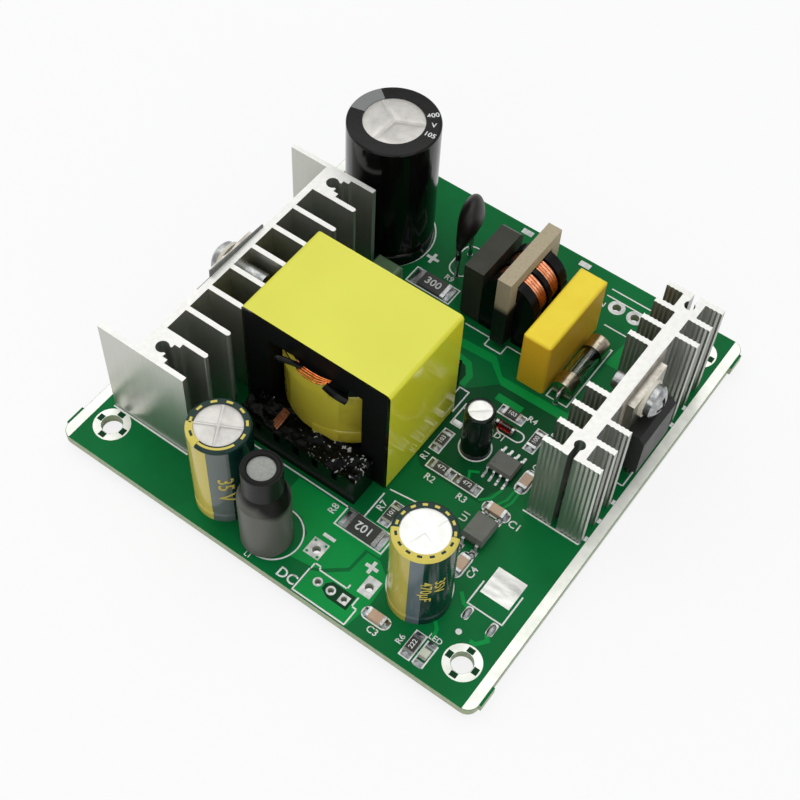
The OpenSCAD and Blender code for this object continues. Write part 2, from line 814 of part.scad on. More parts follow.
module pack_pad(screw_z, tilt) {
    translate([-pad_t, 0, screw_z])
        rotate([tilt, 0, 0])
            difference() {
                translate([0, -pad_w / 2, pad_hole_drop - pad_h])
                    cube([pad_t, pad_w, pad_h]);
                translate([-cut, 0, 0])
                    rotate([0, 90, 0])
                        cylinder(d = screw_d, h = pad_t + 2 * cut);
            }
}

// Pan-head screw along +X from its seat, with a cross recess
module pack_screw(screw_z, len) {
    dome_r = head_d * 0.7;
    translate([pack_tab_t + bush_flange_t, 0, screw_z])
        rotate([0, 90, 0]) {
            difference() {
                rotate_extrude()
                    intersection() {
                        square([head_d / 2, head_h]);
                        translate([0, head_h - dome_r])
                            circle(dome_r);
                    }
                for (turn = [0, 90])
                    rotate([0, 0, turn])
                        translate([-recess_len / 2, -recess_w / 2, head_h - recess_depth])
                            cube([recess_len, recess_w, recess_depth + cut]);
            }
            translate([0, 0, -len])
                cylinder(d = screw_d, h = len + cut);
        }
}

// Insulating bush: a sleeve in the tab's hole with a flange under the screw's head
module pack_bush(screw_z) {
    translate([0, 0, screw_z])
        rotate([0, 90, 0])
            difference() {
                union() {
                    cylinder(d = bush_d, h = pack_tab_t);
                    translate([0, 0, pack_tab_t])
                        cylinder(d = bush_flange_d, h = bush_flange_t);
                }
                translate([0, 0, -cut])
                    cylinder(d = screw_d, h = pack_tab_t + bush_flange_t + 2 * cut);
            }
}

module rectifier_body() {
    color("black")
        at_rectifier()
            pack_body(rectifier_screw_z);
}

module rectifier_leadframe() {
    color("silver")
        at_rectifier()
            pack_leadframe(rectifier_screw_z);
}

module rectifier_pad() {
    color("dimgray")
        at_rectifier()
            pack_pad(rectifier_screw_z, pad_tilt);
}

module rectifier_screw() {
    color("lightgray")
        at_rectifier()
            pack_screw(rectifier_screw_z, screw_len);
}

module transistor_body() {
    color("black")
        at_transistor()
            pack_body(transistor_screw_z);
}

module transistor_leadframe() {
    color("silver")
        at_transistor()
            pack_leadframe(transistor_screw_z);
}

module transistor_pad() {
    color("darkgray")
        at_transistor()
            pack_pad(transistor_screw_z, 0);
}

module transistor_screw() {
    color("lightgray")
        at_transistor()
            pack_screw(transistor_screw_z, transistor_screw_len);
}

module screw_bushes() {
    color("ivory") {
        at_rectifier()
            pack_bush(rectifier_screw_z);
        at_transistor()
            pack_bush(transistor_screw_z);
    }
}

// Transformer: one core half stands on z = 0 with its post and legs upwards
module core_half() {
    difference() {
        translate([-core_w / 2, -core_d / 2, 0])
            cube([core_w, core_d, core_half_h]);
        translate([0, 0, core_plate_t])
            difference() {
                union() {
                    cylinder(d = core_window_d, h = core_half_h);
                    translate([-core_opening / 2, -core_d / 2 - cut, 0])
                        cube([core_opening, core_d + 2 * cut, core_half_h]);
                }
                cylinder(d = core_post_d, h = core_half_h);
            }
    }
}

module core_lower() {
    color("dimgray")
        translate([transformer_x, transformer_y, core_z])
            core_half();
}

module core_upper() {
    color("dimgray")
        translate([transformer_x, transformer_y, core_z + core_h])
            mirror([0, 0, 1])
                core_half();
}

module transformer_bobbin() {
    color("black")
        translate([transformer_x, transformer_y, 0]) {
            difference() {
                union() {
                    translate([0, 0, window_z])
                        cylinder(d = bobbin_tube_d, h = window_h);
                    translate([0, 0, window_z])
                        cylinder(d = bobbin_flange_d, h = bobbin_wall);
                    translate([0, 0, window_z + window_h - margin_t])
                        cylinder(d = bobbin_flange_d, h = margin_t);
                    for (s = [-1, 1])
                        translate([-rail_arm_w / 2, s * rail_y / 2 - rail_y / 2, window_z])
                            cube([rail_arm_w, rail_y, bobbin_wall]);
                }
                translate([0, 0, window_z - cut])
                    cylinder(d = bobbin_tube_d - 2 * bobbin_wall, h = window_h + 2 * cut);
            }
            for (s = [-1, 1])
                translate([0, s * rail_y, top])
                    pin_rail();
        }
}

// Pin rail with a wire slot between each pair of pins
module pin_rail() {
    slot = bobbin_pitch * 0.3;
    slot_h = rail_h * 0.35;
    difference() {
        translate([-rail_w / 2, -rail_d / 2, 0])
            cube([rail_w, rail_d, rail_h]);
        for (i = [0 : bobbin_pins - 2])
            translate([(i - (bobbin_pins - 2) / 2) * bobbin_pitch, 0, rail_h - slot_h])
                translate([-slot / 2, -rail_d / 2 - cut, 0])
                    cube([slot, rail_d + 2 * cut, slot_h + cut]);
    }
}

module transformer_winding() {
    wind_h = window_h - bobbin_wall - margin_t;
    wind_r = 1.2;
    color("gold")
        translate([transformer_x, transformer_y, window_z + bobbin_wall])
            difference() {
                rotate_extrude() {
                    square([winding_d / 2 - wind_r, wind_h]);
                    translate([0, wind_r])
                        square([winding_d / 2, wind_h - 2 * wind_r]);
                    for (z = [wind_r, wind_h - wind_r])
                        translate([winding_d / 2 - wind_r, z])
                            circle(wind_r);
                }
                translate([0, 0, -cut])
                    cylinder(d = bobbin_tube_d, h = wind_h + 2 * cut);
            }
}

module transformer_tape() {
    tape_r = 0.8;
    color("yellow")
        translate([transformer_x, transformer_y, core_z + core_h / 2])
            rotate([90, 0, 0])
                linear_extrude(core_d, center = true)
                    difference() {
                        rounded_plate(core_w + 2 * tape_t, core_h + 2 * tape_t, tape_r);
                        square([core_w, core_h], center = true);
                    }
}

module transformer_pins() {
    color("silver")
        round_leads(bobbin_pins_at, top);
}

// Common-mode choke: a closed frame with a middle limb along Y
module choke_core() {
    color("gray")
        translate([choke_x, choke_y, choke_z])
            difference() {
                translate([-choke_t / 2, -choke_len / 2, 0])
                    cube([choke_t, choke_len, choke_h]);
                for (z = [choke_limb, choke_h - choke_limb - choke_window_h])
                    translate([-choke_t / 2 - cut, -choke_window_len / 2, z])
                        cube([choke_t + 2 * cut, choke_window_len, choke_window_h]);
            }
}

// A disc about the choke's axis, centred on y
module choke_disc(d, y, t) {
    translate([choke_x, choke_y + y, choke_axis_z])
        rotate([90, 0, 0])
            cylinder(d = d, h = t, center = true);
}

module choke_bobbin() {
    limb_x = choke_t + 2 * choke_clear;
    limb_z = choke_limb + choke_clear;
    lower_bar = choke_lift + choke_limb + choke_clear;
    color("black")
        difference() {
            union() {
                choke_disc(choke_tube_d, 0, 2 * choke_flange_y);
                choke_disc(choke_flange_d, 0, choke_mid_t);
                for (s = [-1, 1]) {
                    choke_disc(choke_flange_d, s * choke_flange_y, choke_flange_t);
                    translate([choke_x - choke_w / 2, choke_y + s * choke_flange_y - choke_flange_t / 2, top])
                        cube([choke_w, choke_flange_t, choke_axis_z - top]);
                }
            }
            translate([choke_x - limb_x / 2, choke_y - choke_len / 2, choke_axis_z - choke_limb / 2])
                cube([limb_x, choke_len, limb_z]);
            translate([choke_x - limb_x / 2, choke_y - choke_len / 2, top - cut])
                cube([limb_x, choke_len, lower_bar + cut]);
        }
}

// One winding: turns side by side, each showing its round wire
module choke_winding(s) {
    coil_y = s * (choke_mid_t + choke_coil_len) / 2;
    coil_w = choke_turns * choke_wire_d;
    inner_w = (choke_coil_d - choke_wire_d - choke_tube_d) / 2;
    color("peru")
        translate([choke_x, choke_y + coil_y, choke_axis_z])
            rotate([90, 0, 0])
                rotate_extrude() {
                    translate([choke_tube_d / 2, -coil_w / 2])
                        square([inner_w, coil_w]);
                    for (i = [0 : choke_turns - 1])
                        translate([choke_tube_d / 2 + inner_w, (i + 0.5) * choke_wire_d - coil_w / 2])
                            circle(d = choke_wire_d);
                }
}

module choke_winding_front() {
    choke_winding(-1);
}

module choke_winding_back() {
    choke_winding(1);
}

module choke_pins() {
    color("silver")
        round_leads(choke_pins_at, top);
}

// Bridge rectifier: a slab with one bevelled corner that marks its positive end
module bridge_body() {
    bevel = 1;
    z = top + bridge_lift;
    color("black")
        translate([bridge_x, bridge_y, z])
            rotate([90, 0, 90])
                linear_extrude(bridge_t, center = true)
                    polygon([
                        [-bridge_w / 2, 0],
                        [bridge_w / 2, 0],
                        [bridge_w / 2, bridge_h - bevel],
                        [bridge_w / 2 - bevel, bridge_h],
                        [-bridge_w / 2, bridge_h]
                    ]);
}

module bridge_leads() {
    color("silver")
        round_leads(bridge_leads_at, top + bridge_lift);
}

// Mains capacitor and fuse
module line_capacitor_case() {
    color("gold")
        translate([line_cap_x, line_cap_y, top])
            soft_block(line_cap_w, line_cap_len, line_cap_h, line_cap_r);
}

module line_capacitor_leads() {
    color("silver")
        round_leads(line_cap_leads, top);
}

// A cylinder along Y, from the fuse's centre line
module fuse_bar(d, y, len) {
    translate([fuse_x, fuse_y + y, fuse_z])
        rotate([-90, 0, 0])
            cylinder(d = d, h = len);
}

module fuse_glass() {
    len = fuse_len - 2 * fuse_cap_wall;
    color("lightcyan", 0.5)
        difference() {
            fuse_bar(fuse_glass_d, -len / 2, len);
            fuse_bar(fuse_bore_d, -len / 2 - cut, len + 2 * cut);
        }
}

module fuse_caps() {
    color("silver")
        for (s = [-1, 1])
            difference() {
                fuse_bar(fuse_cap_d, s * (fuse_len - fuse_cap_len) / 2 - fuse_cap_len / 2, fuse_cap_len);
                fuse_bar(fuse_glass_d, -fuse_len / 2 + fuse_cap_wall, fuse_len - 2 * fuse_cap_wall);
            }
}

// The fuse's element, and an axial lead at each end bent down to the board
module fuse_wires() {
    element = fuse_len - 2 * fuse_cap_wall;
    color("silver") {
        fuse_bar(fuse_element_d, -element / 2, element);
        for (turn = [0, 180])
            translate([fuse_x, fuse_y, fuse_z])
                rotate([0, 0, turn])
                    translate([0, fuse_len / 2, 0]) {
                        rotate([-90, 0, 0])
                            cylinder(d = lead_d, h = fuse_lead_out);
                        translate([0, fuse_lead_out, -fuse_bend_r]) {
                            rotate([90, 0, 90])
                                rotate_extrude(angle = 90)
                                    translate([fuse_bend_r, 0])
                                        circle(d = lead_d);
                            translate([0, fuse_bend_r, fuse_bend_r - fuse_z - lead_stub])
                                cylinder(d = lead_d, h = fuse_z + lead_stub - fuse_bend_r);
                        }
                    }
    }
}

// Electrolytic capacitors: a can with a rolled rim and a crimp groove near its foot
module can_solid(d, h) {
    groove_r = d * 0.06;
    groove_z = d * 0.2;
    rotate_extrude()
        difference() {
            union() {
                square([d / 2, h - can_rim]);
                square([d / 2 - can_rim, h]);
                translate([d / 2 - can_rim, h - can_rim])
                    intersection() {
                        circle(can_rim);
                        square(can_rim);
                    }
            }
            translate([d / 2 + groove_r * 0.5, groove_z])
                circle(groove_r);
        }
}

module can(at, d, h) {
    color("whitesmoke")
        translate([at.x, at.y, top])
            can_solid(d - 2 * sleeve_t, h - sleeve_t);
}

// Shrunk sleeve: follows the can and leaves the middle of its top bare
module sleeve(at, d, h, fold, tone) {
    color(tone)
        translate([at.x, at.y, top])
            difference() {
                can_solid(d, h);
                can_solid(d - 2 * sleeve_t, h - sleeve_t);
                translate([0, 0, h - 2 * sleeve_t])
                    cylinder(d = d - 2 * fold, h = 3 * sleeve_t);
            }
}

module bulk_capacitor_can() {
    can([bulk_x, bulk_y], bulk_d, bulk_h);
}

module bulk_capacitor_sleeve() {
    sleeve([bulk_x, bulk_y], bulk_d, bulk_h, bulk_fold, "black");
}

module output_capacitor_a_can() {
    can(smooth_a, smooth_d, smooth_h);
}

module output_capacitor_a_sleeve() {
    sleeve(smooth_a, smooth_d, smooth_h, smooth_fold, "darkslategray");
}

module output_capacitor_b_can() {
    can(smooth_b, smooth_d, smooth_h);
}

module output_capacitor_b_sleeve() {
    sleeve(smooth_b, smooth_d, smooth_h, smooth_fold, "darkslategray");
}

module bias_capacitor_can() {
    can(bias_at, bias_d, bias_h);
}

module bias_capacitor_sleeve() {
    sleeve(bias_at, bias_d, bias_h, bias_fold, "darkslategray");
}

module film_capacitor_body() {
    color("darkolivegreen")
        translate([film_at.x, film_at.y, top])
            soft_block(film_w, film_t, film_h, film_r);
}

module capacitor_leads() {
    color("silver")
        round_leads(can_leads, top);
}

// Output inductor: a rod core on a foot, wound over its lower part, in a shrink sleeve
module inductor_core() {
    color("gray")
        translate([drum_at.x, drum_at.y, top])
            rotate_extrude() {
                square([drum_d / 2, drum_h]);
                square([drum_coil_d / 2, drum_flange_t]);
            }
}

// Half profile of the wound core between two heights, grown by the sleeve's wall
module drum_profile(low, high, grow) {
    polygon([
        [0, low],
        [drum_coil_d / 2 + grow, low],
        [drum_coil_d / 2 + grow, drum_coil_h],
        [drum_d / 2 + grow, drum_coil_h + drum_slope_h],
        [drum_d / 2 + grow, high],
        [0, high]
    ]);
}

module inductor_coil() {
    color("peru")
        translate([drum_at.x, drum_at.y, top])
            rotate_extrude()
                difference() {
                    drum_profile(drum_flange_t, drum_coil_h + drum_slope_h + cut, 0);
                    square([drum_d / 2, drum_h]);
                }
}

module inductor_sleeve() {
    color("black")
        translate([drum_at.x, drum_at.y, top])
            rotate_extrude()
                difference() {
                    drum_profile(shrink_lift, drum_h + shrink_t, shrink_t);
                    drum_profile(shrink_lift - cut, drum_h, 0);
                    square([drum_d / 2 - drum_lip_w, drum_h + 2 * shrink_t]);
                }
}

module inductor_leads() {
    color("silver")
        round_leads(drum_leads, top);
}

// Thermistor: a coated disc standing on its two leads
module thermistor_disc() {
    color("black")
        difference() {
            translate([disc_at.x, disc_at.y, top + disc_z - disc_d / 2])
                rotate([90 + disc_lean, 0, disc_turn])
                    translate([0, disc_d / 2, 0])
                        rotate_extrude() {
                            translate([0, -disc_edge_r])
                                square([disc_d / 2 - disc_edge_r, disc_t]);
                            translate([disc_d / 2 - disc_edge_r, 0])
                                intersection() {
                                    circle(disc_edge_r);
                                    translate([0, -disc_edge_r])
                                        square([disc_edge_r, disc_t]);
                                }
                        }
            thermistor_leads();
        }
}

module thermistor_leads() {
    color("silver")
        round_leads(disc_leads, top + disc_z - disc_d / 4);
}

// Integrated circuits: a body with a drafted parting line, and formed leads
module drafted(len, h) {
    polygon([
        [-len / 2 + ic_draft, 0],
        [len / 2 - ic_draft, 0],
        [len / 2, h * 0.45],
        [len / 2, h * 0.55],
        [len / 2 - ic_draft, h],
        [-len / 2 + ic_draft, h],
        [-len / 2, h * 0.55],
        [-len / 2, h * 0.45]
    ]);
}

module ic_body(len, w, h) {
    dimple_inset = ic_draft + dimple_d;
    difference() {
        intersection() {
            rotate([90, 0, 0])
                linear_extrude(w, center = true)
                    drafted(len, h);
            rotate([90, 0, 90])
                linear_extrude(len, center = true)
                    drafted(w, h);
        }
        translate([-len / 2 + dimple_inset, -w / 2 + dimple_inset, h - dimple_depth])
            cylinder(d = dimple_d, h = dimple_depth + cut);
    }
}

// Formed leads on both long sides, numbered along X
module ic_leads(w, h, count, pitch, foot_w) {
    rise = ic_lift + h * 0.5 + foot_t / 2;
    for (turn = [0, 180], i = [0 : count - 1])
        rotate([0, 0, turn])
            translate([(i - (count - 1) / 2) * pitch + foot_w / 2, w / 2, 0])
                rotate([90, 0, -90])
                    mirror([1, 0, 0])
                        linear_extrude(foot_w)
                            polygon([
                                [0, rise],
                                [foot_shoulder, rise],
                                [foot_shoulder, foot_t],
                                [foot_reach, foot_t],
                                [foot_reach, 0],
                                [foot_shoulder - foot_t, 0],
                                [foot_shoulder - foot_t, rise - foot_t],
                                [0, rise - foot_t]
                            ]);
}

module controller_body() {
    color("black")
        translate([ic_at.x, ic_at.y, top + ic_lift])
            ic_body(ic_len, ic_w, ic_h);
}

module controller_leads() {
    color("silver")
        translate([ic_at.x, ic_at.y, top])
            ic_leads(ic_w, ic_h, 4, ic_pitch, ic_foot_w);
}

module optocoupler_body() {
    color("black")
        translate([opto_at.x, opto_at.y, top + ic_lift])
            ic_body(opto_len, opto_w, opto_h);
}

module optocoupler_leads() {
    color("silver")
        translate([opto_at.x, opto_at.y, top])
            ic_leads(opto_w, opto_h, 2, opto_pitch, opto_foot_w);
}

// Chip parts: the middle of each chip, or its two end caps
module chip_middle(p, len, w, h, end) {
    translate([p[0].x, p[0].y, top])
        rotate([0, 0, p[1]])
            translate([-len / 2 + end, -w / 2, 0])
                cube([len - 2 * end, w, h]);
}

module chip_ends(p, len, w, h, end) {
    translate([p[0].x, p[0].y, top])
        rotate([0, 0, p[1]])
            for (s = [-1, 1])
                translate([s * (len - end) / 2 - end / 2, -w / 2, 0])
                    cube([end, w, h]);
}

module resistor_chips() {
    color("black") {
        for (p = small_resistors)
            chip_middle(p, chip_len, chip_w, chip_h, chip_end);
        for (p = big_resistors)
            chip_middle(p, big_chip_len, big_chip_w, big_chip_h, big_chip_end);
    }
}

module resistor_ends() {
    color("silver") {
        for (p = small_resistors)
            chip_ends(p, chip_len, chip_w, chip_h, chip_end);
        for (p = big_resistors)
            chip_ends(p, big_chip_len, big_chip_w, big_chip_h, big_chip_end);
    }
}

module capacitor_chips() {
    color("rosybrown")
        for (p = chip_capacitors)
            chip_middle(p, chip_len, chip_w, chip_cap_h, chip_end);
}

module capacitor_ends() {
    color("silver")
        for (p = chip_capacitors)
            chip_ends(p, chip_len, chip_w, chip_cap_h, chip_end);
}

// Lamp chip: a base with a clear moulded lens, lying along Y
module led_body() {
    color("ivory")
        translate([led_at.x, led_at.y, top])
            rotate([0, 0, 90]) {
                translate([-led_len / 2 + led_end, -led_w / 2, 0])
                    cube([led_len - 2 * led_end, led_w, led_h]);
            }
}

module glass_diode_body() {
    glass_body_d = glass_d - 0.1;
    color("firebrick")
        translate([glass_at.x - glass_len / 2 + glass_end, glass_at.y, top + glass_d / 2])
            rotate([0, 90, 0])
                cylinder(d = glass_body_d, h = glass_len - 2 * glass_end);
}

module diode_ends() {
    color("silver") {
        chip_ends([led_at, 90], led_len, led_w, led_base_h, led_end);
        for (s = [-1, 1])
            translate([glass_at.x + s * (glass_len - glass_end) / 2, glass_at.y, top + glass_d / 2])
                rotate([0, 90, 0])
                    cylinder(d = glass_d, h = glass_end, center = true);
    }
}

circuit_board();
solder_joints();
output_heatsink();
primary_heatsink();
heatsink_pins();
rectifier_body();
rectifier_leadframe();
rectifier_pad();
rectifier_screw();
transistor_body();
transistor_leadframe();
transistor_pad();
transistor_screw();
screw_bushes();
core_upper();
core_lower();
transformer_bobbin();
transformer_winding();
transformer_tape();
transformer_pins();
choke_core();
choke_bobbin();
choke_winding_front();
choke_winding_back();
choke_pins();
bridge_body();
bridge_leads();
line_capacitor_case();
line_capacitor_leads();
fuse_glass();
fuse_caps();
fuse_wires();
bulk_capacitor_can();
bulk_capacitor_sleeve();
output_capacitor_a_can();
output_capacitor_a_sleeve();
output_capacitor_b_can();
output_capacitor_b_sleeve();
bias_capacitor_can();
bias_capacitor_sleeve();
film_capacitor_body();
capacitor_leads();
inductor_core();
inductor_coil();
inductor_sleeve();
inductor_leads();
thermistor_disc();
thermistor_leads();
controller_body();
controller_leads();
optocoupler_body();
optocoupler_leads();
resistor_chips();
resistor_ends();
capacitor_chips();
capacitor_ends();
led_body();
glass_diode_body();
diode_ends();
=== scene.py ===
import json
from functools import partial
from math import atan2, cos, hypot, pi, radians, sin

import bmesh
import bpy
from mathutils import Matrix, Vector

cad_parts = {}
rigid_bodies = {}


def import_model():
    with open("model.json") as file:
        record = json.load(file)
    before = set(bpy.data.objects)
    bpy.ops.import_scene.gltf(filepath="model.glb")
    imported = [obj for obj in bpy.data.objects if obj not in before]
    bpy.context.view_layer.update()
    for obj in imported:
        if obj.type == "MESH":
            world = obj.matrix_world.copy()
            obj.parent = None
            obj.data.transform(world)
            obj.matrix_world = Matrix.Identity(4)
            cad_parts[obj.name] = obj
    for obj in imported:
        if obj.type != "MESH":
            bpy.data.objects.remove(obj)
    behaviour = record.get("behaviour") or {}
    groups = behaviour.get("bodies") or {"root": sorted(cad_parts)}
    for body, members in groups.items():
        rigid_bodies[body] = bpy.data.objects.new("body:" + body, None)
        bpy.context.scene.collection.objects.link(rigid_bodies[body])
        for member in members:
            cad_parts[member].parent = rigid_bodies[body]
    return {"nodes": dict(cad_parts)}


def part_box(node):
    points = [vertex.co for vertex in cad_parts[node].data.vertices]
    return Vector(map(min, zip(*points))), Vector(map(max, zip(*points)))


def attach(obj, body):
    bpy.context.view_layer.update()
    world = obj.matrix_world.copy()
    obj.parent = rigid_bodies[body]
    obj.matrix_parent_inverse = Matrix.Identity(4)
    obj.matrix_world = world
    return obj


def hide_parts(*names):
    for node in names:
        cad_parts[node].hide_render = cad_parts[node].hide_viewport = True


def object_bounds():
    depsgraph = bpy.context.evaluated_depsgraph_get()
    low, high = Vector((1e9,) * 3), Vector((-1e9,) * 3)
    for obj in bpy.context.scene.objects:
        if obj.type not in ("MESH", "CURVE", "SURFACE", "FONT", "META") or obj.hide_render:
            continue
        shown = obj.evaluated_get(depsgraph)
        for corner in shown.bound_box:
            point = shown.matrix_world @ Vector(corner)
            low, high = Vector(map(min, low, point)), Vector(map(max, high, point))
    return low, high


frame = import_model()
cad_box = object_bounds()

# Sizes are in millimetres in the lists below and are turned to metres where a piece is made.
MM = 0.001
nodes = frame["nodes"]
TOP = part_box("circuit_board")[1].z / MM
scene = bpy.context.scene


def metres(x, y, z):
    return x * MM, y * MM, z * MM


def middle(node):
    """The x and y of a node's middle and the z of its top, in millimetres."""
    low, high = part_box(node)
    return (low.x + high.x) / 2 / MM, (low.y + high.y) / 2 / MM, high.z / MM


# Materials

# a Mix node that blends two colours, which are its inputs 6 and 7
BLEND = {"out": 2, "data_type": "RGBA"}


def linear(code):
    """sRGB hex to the linear values that a shader takes."""
    parts = [int(code[i:i + 2], 16) / 255 for i in (1, 3, 5)]
    return [c / 12.92 if c <= 0.04045 else ((c + 0.055) / 1.055) ** 2.4 for c in parts] + [1.0]


def add(tree, kind, inputs=None, out=0, stops=(), **settings):
    """One node with its settings and links; gives the output that out names.

    An input is a value, a colour's hex or another node's output, and stops are a ramp's (place, hex).
    """
    made = tree.nodes.new("ShaderNode" + kind)
    for name, value in settings.items():
        setattr(made, name, value)
    for name, value in (inputs or {}).items():
        if isinstance(value, bpy.types.NodeSocket):
            tree.links.new(value, made.inputs[name])
        else:
            made.inputs[name].default_value = linear(value) if isinstance(value, str) else value
    for count, (at, code) in enumerate(stops):
        if count == len(made.color_ramp.elements):
            made.color_ramp.elements.new(at)
        made.color_ramp.elements[count].position = at
        made.color_ramp.elements[count].color = linear(code)
    return made.outputs[out]


def finish(name, colour, roughness, metallic=0.0, specular=0.5, **sockets):
    """A new material: itself, add for its own tree, and Object coordinates in millimetres."""
    material = bpy.data.materials.new(name)
    material.use_nodes = True
    node = partial(add, material.node_tree)
    surface = material.node_tree.nodes["Principled BSDF"].inputs
    surface["Base Color"].default_value = linear(colour)
    surface["Roughness"].default_value = roughness
    surface["Metallic"].default_value = metallic
    surface["Specular IOR Level"].default_value = specular
    for socket, value in sockets.items():
        surface[socket.replace("_", " ")].default_value = value
    mm = node("Mapping", {"Vector": node("TexCoord", out="Object"), "Scale": (1000, 1000, 1000)})
    return material, node, mm


def dress(material, tone=None, gloss=None, relief=None):
    """Links a material's colour, gloss and relief to its surface, and gives the material back.

    The gloss is (pattern, roughness from, to), and the relief is (pattern, depth, strength).
    """
    tree = material.node_tree
    if isinstance(gloss, tuple):
        pattern, low, high = gloss
        gloss = add(tree, "MapRange", {"Value": pattern, "To Min": low, "To Max": high})
    if relief:
        pattern, depth, strength = relief
        relief = add(tree, "Bump", {"Height": pattern, "Distance": depth * MM, "Strength": strength})
    for socket, source in (("Base Color", tone), ("Roughness", gloss), ("Normal", relief)):
        if source:
            tree.links.new(source, tree.nodes["Principled BSDF"].inputs[socket])
    return material


def facing(node, axis):
    """How far a surface faces along an axis, either way."""
    normal = node("NewGeometry", out="Normal")
    return node("Math", {0: node("SeparateXYZ", {"Vector": normal}, out=axis)}, operation="ABSOLUTE")


def make_solder_mask(name, face, shade, edge=None, pale=None):
    # Cured solder-mask lacquer: an even satin green with slow clouds and the glass weave just showing
    # through, and sawn laminate on the edges, dull and streaked by its fibres.
    material, node, mm = finish(name, face, 0.3, specular=0.07)
    # clouds of about 12 mm, weave of 0.5 mm
    clouds = node("TexNoise", {"Vector": mm, "Scale": 0.08, "Detail": 3.0})
    weave = node("TexVoronoi", {"Vector": mm, "Scale": 2.0}, distance="CHEBYCHEV")
    lacquer = node("ValToRGB", {"Fac": clouds}, stops=((0.35, shade), (0.65, face)))
    layers = node("Mapping", {"Vector": mm, "Scale": (1, 1, 6)})
    fibres = node("TexNoise", {"Vector": layers, "Scale": 1.5, "Detail": 4.0})
    sawn = node("ValToRGB", {"Fac": fibres}, stops=((0.35, edge or face), (0.7, pale or face)))
    side = node("Math", {0: facing(node, "Z"), 1: 0.5}, operation="LESS_THAN")
    tone = node("Mix", {"Factor": side, 6: lacquer, 7: sawn}, **BLEND)
    return dress(material, tone, (clouds, 0.24, 0.36), (weave, 0.006, 0.25))


def make_metal(name, colour, shade, roughness, grain, depth, stretch=(1, 1, 1)):
    # Plated or dipped metal: bright, with soft clouds of duller tone and a slightly uneven skin.
    material, node, mm = finish(name, colour, roughness, 1.0)
    along = node("Mapping", {"Vector": mm, "Scale": stretch})
    spots = node("TexNoise", {"Vector": along, "Scale": 1 / grain, "Detail": 5.0, "Roughness": 0.6})
    tone = node("ValToRGB", {"Fac": spots}, stops=((0.3, shade), (0.65, colour)))
    return dress(material, tone, (spots, roughness * 1.35, roughness * 0.7), (spots, depth, 0.5))


def make_extrusion(name, dull, clean):
    # Mill-finish extruded aluminium: grey drawn faces whose oxide skin scatters some of the light and whose
    # die lines run up the profile, and sawn ends that are frosty and bright.
    material, node, mm = finish(name, clean, 0.5, 0.87)
    upright = node("Mapping", {"Vector": mm, "Scale": (1, 1, 0.02)})
    # die lines about 0.4 mm apart, drawn coarser than the real ones so that they show
    lines = node("TexNoise", {"Vector": upright, "Scale": 2.4, "Detail": 6.0, "Roughness": 0.7})
    stains = node("TexNoise", {"Vector": mm, "Scale": 0.16, "Detail": 4.0})
    drawn = node("ValToRGB", {"Fac": lines}, stops=((0.25, dull), (0.75, clean)))
    drawn = node("Mix", {"Factor": stains, 6: drawn, 7: dull}, **BLEND)
    # saw marks about 0.8 mm apart, drawn coarser than the real ones so that they don't flicker
    arcs = node("TexNoise", {"Vector": mm, "Scale": 1.2, "Detail": 4.0})
    frost = node("ValToRGB", {"Fac": arcs}, stops=((0.3, "#e2e2df"), (0.7, "#ebebe8")))
    end = node("Math", {0: facing(node, "Z"), 1: 0.8}, operation="GREATER_THAN")
    tone = node("Mix", {"Factor": end, 6: drawn, 7: frost}, **BLEND)
    drawn_gloss = node("MapRange", {"Value": lines, "To Min": 0.28, "To Max": 0.38})
    gloss = node("Mix", {"Factor": end, 2: drawn_gloss, 3: 0.6})
    fine = node("Math", {0: lines, 1: 0.08}, operation="MULTIPLY")
    rough = node("Math", {0: arcs, 1: 0.4}, operation="MULTIPLY")
    height = node("Mix", {"Factor": end, 2: fine, 3: rough})
    return dress(material, tone, gloss, (height, 0.015, 0.35))


def make_moulding(name, colour, shade, roughness, grain, depth, sides=None, **sockets):
    # Moulded or coated solid: even tone, a fine spark-eroded or cast grain and a slightly uneven gloss. The
    # sides of a thin-walled case take a deeper tone, partly from what shows through and partly painted shade.
    material, node, mm = finish(name, colour, roughness, **sockets)
    fine = node("TexNoise", {"Vector": mm, "Scale": 1 / grain, "Detail": 3.0})
    broad = node("TexNoise", {"Vector": mm, "Scale": 0.25, "Detail": 3.0})
    tone = node("ValToRGB", {"Fac": broad}, stops=((0.3, shade), (0.7, colour)))
    # the sides' deeper tone is partly what shows through and partly painted shade
    if sides:
        up = node("SeparateXYZ", {"Vector": node("NewGeometry", out="Normal")}, out="Z")
        lid = node("MapRange", {"Value": up, "From Min": 0.2, "From Max": 0.8})
        tone = node("Mix", {"Factor": lid, 6: sides, 7: tone}, **BLEND)
    return dress(material, tone, (broad, roughness * 1.2, roughness * 0.8), (fine, depth, 0.6))


def make_ferrite(name, colour, shade, specular, dipped=None):
    # Sintered ferrite: a dense dark ceramic with fine pores and pale grinding specks. With a height given in
    # dipped, it is near black below that height above the board.
    material, node, mm = finish(name, colour, 0.5, specular=specular)
    pores = node("TexVoronoi", {"Vector": mm, "Scale": 4.5})
    grain = node("TexNoise", {"Vector": mm, "Scale": 3.0, "Detail": 6.0, "Roughness": 0.7})
    tone = node("ValToRGB", {"Fac": grain}, stops=((0.35, shade), (0.6, colour)))
    if dipped:
        level, line = node("SeparateXYZ", {"Vector": mm}, out="Z"), TOP + dipped
        bare = node("MapRange", {"Value": level, "From Min": line - 0.8, "From Max": line + 0.8})
        tone = node("Mix", {"Factor": bare, 6: "#0f100f", 7: tone}, **BLEND)
    return dress(material, tone, (grain, 0.4, 0.625), (pores, 0.03, 0.5))


